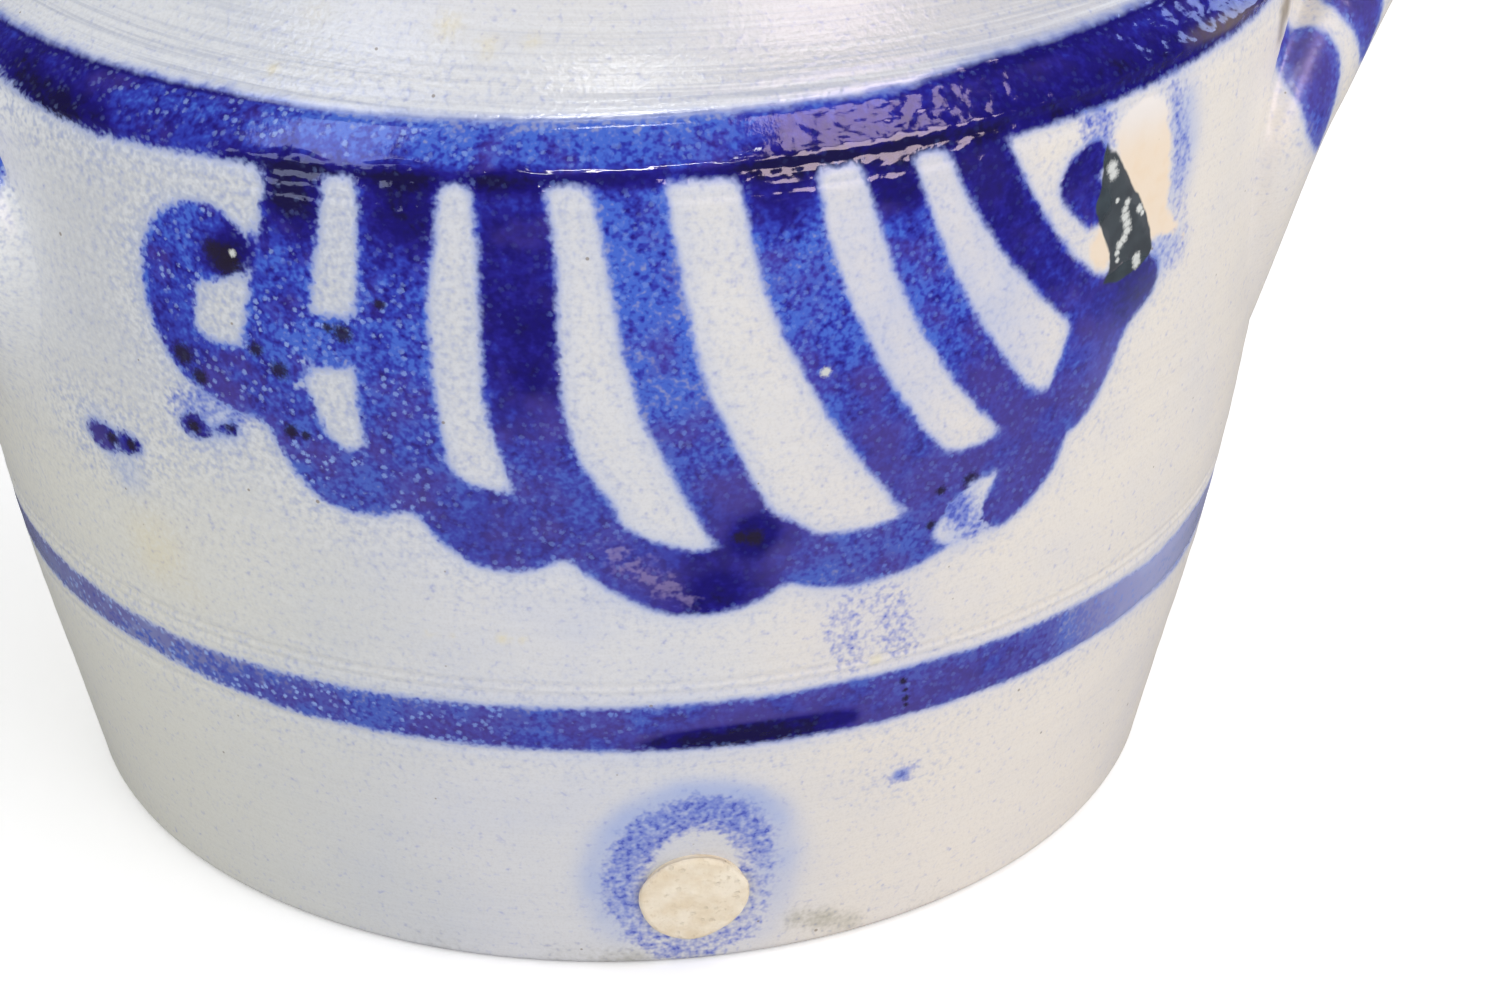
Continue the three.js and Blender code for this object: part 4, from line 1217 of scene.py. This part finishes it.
def handle(name, flip):
    points, faces = ear_roll()
    for way in (-1, 1):
        more, others = root_skirt(way)
        faces += [[i + len(points) for i in face] for face in others]
        points = np.vstack([points, more])
    points = points * (flip, flip, 1)
    blank = new_object(name, sagged(points) * MM, faces)
    remesh = blank.modifiers.new("remesh", "REMESH")
    remesh.mode = "VOXEL"
    remesh.voxel_size = REMESH_SIZE * MM
    remesh.use_smooth_shade = True
    smooth = blank.modifiers.new("smooth", "SMOOTH")
    smooth.factor = 0.5
    smooth.iterations = SMOOTHING_ROUNDS
    made = plain_mesh(blank, name)
    made.data.materials.clear()
    made.data.materials.append(glaze.material)
    places = vertices(made.data)
    degrees, height, radius = material_places(places)
    spots = np.column_stack([places[:, :2] * flip / MM, height])
    edge = np.full(len(spots), FAR_OFF)
    coat = np.zeros(len(spots))
    for dab in DABS:
        outside, strength = nearest(spots, through(dab, STROKE_STEP))
        coat = np.where(outside < edge, strength * smooth_rise(-outside, 0.0, DAB_EDGE), coat)
        edge = np.minimum(edge, outside)
    by_wall = radius < wall_radius(height) + CREASE_BROWN_REACH
    # The crease's brown: glaze pooled by the wall, darkened as painted shade.
    crease_brown_and_shade = np.where(by_wall, soft_lines(on_wall(degrees, height), BROWN, 1.2), 0)
    marks = {
        **{name: np.full(len(spots), FAR_OFF) for name in distances},
        **{name: np.zeros(len(spots)) for name in amounts},
        "cobalt": edge,
        "load": coat,
        "brown": crease_brown_and_shade,
    }
    set_attributes(made.data, marks)
    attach(made, "pot")
    return made


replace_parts(handle("ear_right", 1), "handle_right")
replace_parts(handle("ear_left", -1), "handle_left")


# The stopper is a plug of pale clay pushed into the tapered tap hole from outside. Its face stands
# just proud of the wall and is lumpy, chalky and pitted.
STOPPER_CLEARANCE = 0.3
STOPPER_PROUD = 1.3
STOPPER_LIP = 0.2
STOPPER_INNER_REACH = 4.3
STOPPER_SIDES = 96
STOPPER_FACE_RINGS = 22
STOPPER_SHANK_RINGS = 16
FLAT_SHARE = 0.88
# The head's radius by degrees clockwise from its top.
HEAD_RADII = [
    (0, 11.3), (30, 11.2), (50, 10.7), (75, 11.5), (100, 11.7), (150, 11.9),
    (180, 12.6), (215, 12.3), (250, 11.6), (280, 11.7), (320, 11.3), (360, 11.3),
]
LUMP_SIZE = 4.0
LUMP_HEIGHT = 0.35
CHALK_PALE = colour(240, 228, 206)
CHALK_WARM = colour(226, 208, 178)
CHALK_SHADE = colour(204, 184, 150)
PIT_BROWN = colour(150, 134, 112)

chalk = Finish("bare_clay")
pit_away, pit_chance = chalk.cells(2.4, shift=3.0)
pits = (0.3 - pit_away + (chalk.grain(0.7, 2) - 0.5) * 0.3).rise(0.0, 0.16) * pit_chance.rise(0.4, 0.6)
chalky = chalk.layers(CHALK_PALE, [
    (chalk.grain(5, 3).rise(0.3, 0.75), CHALK_WARM),
    (chalk.grain(1.1, 3, shift=6.0).rise(0.55, 0.8) * 0.5, CHALK_SHADE),
    (pits * 0.15, PIT_BROWN),
])
crumbs = chalk.bump(chalk.grain(0.9, 4) * 0.6 - pits * 0.4, 0.5, 0.8)
chalk.finish("ShaderNodeBsdfPrincipled", {"Base Color": chalky, "Roughness": 0.92, "Normal": crumbs})

length = WALL_THICKNESS + STOPPER_INNER_REACH
inner_face = length - wall_radius(TAP_HEIGHT)
wide_radius = TAP_RADIUS - STOPPER_CLEARANCE
thin_radius = wide_radius - TAP_TAPER * length
edge_round = STOPPER_PROUD - STOPPER_LIP
# From the middle of the face to the middle of the inner end, each ring is (share of the head's radius,
# radius added to it, reach beyond the wall, share of the way in).
profile = [(share, 0.0, STOPPER_PROUD, 0.0) for share in np.linspace(0, FLAT_SHARE, STOPPER_FACE_RINGS)]
for turn in quarter(6):
    reach = STOPPER_PROUD - edge_round * (1 - math.cos(turn))
    profile.append((1.0, -edge_round * (1 - math.sin(turn)), reach, 0.0))
for share in np.linspace(0, 1, STOPPER_SHANK_RINGS):
    profile.append((0.0, wide_radius + (thin_radius - wide_radius) * share, STOPPER_LIP, share))
profile += [(0.0, thin_radius * 0.5, STOPPER_LIP, 1.0), (0.0, 0.0, STOPPER_LIP, 1.0)]
points = []
for head_share, more_radius, reach, way_in in profile:
    for step in range(STOPPER_SIDES):
        turn = 2 * math.pi * step / STOPPER_SIDES
        ring_radius = head_share * np.interp(math.degrees(turn), *np.array(HEAD_RADII).T) + more_radius
        x = ring_radius * math.sin(turn)
        z = TAP_HEIGHT + ring_radius * math.cos(turn)
        face_y = -math.sqrt((wall_radius(z) + reach) ** 2 - x * x)
        lump = noise.noise(Vector((x, z, 3.0)) / LUMP_SIZE) * LUMP_HEIGHT if head_share else 0
        points.append((x, (face_y + abs(lump)) * (1 - way_in) + inner_face * way_in, z))
blank = new_object("stopper", np.array(points) * MM, ring_faces(len(profile), STOPPER_SIDES))
weld = blank.modifiers.new("weld", "WELD")
weld.merge_threshold = WELD_DISTANCE
plug = plain_mesh(blank, "stopper")
plug.data.materials.append(chalk.material)
plug.data.shade_smooth()
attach(plug, "stopper")
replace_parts(plug, "tap_stopper")
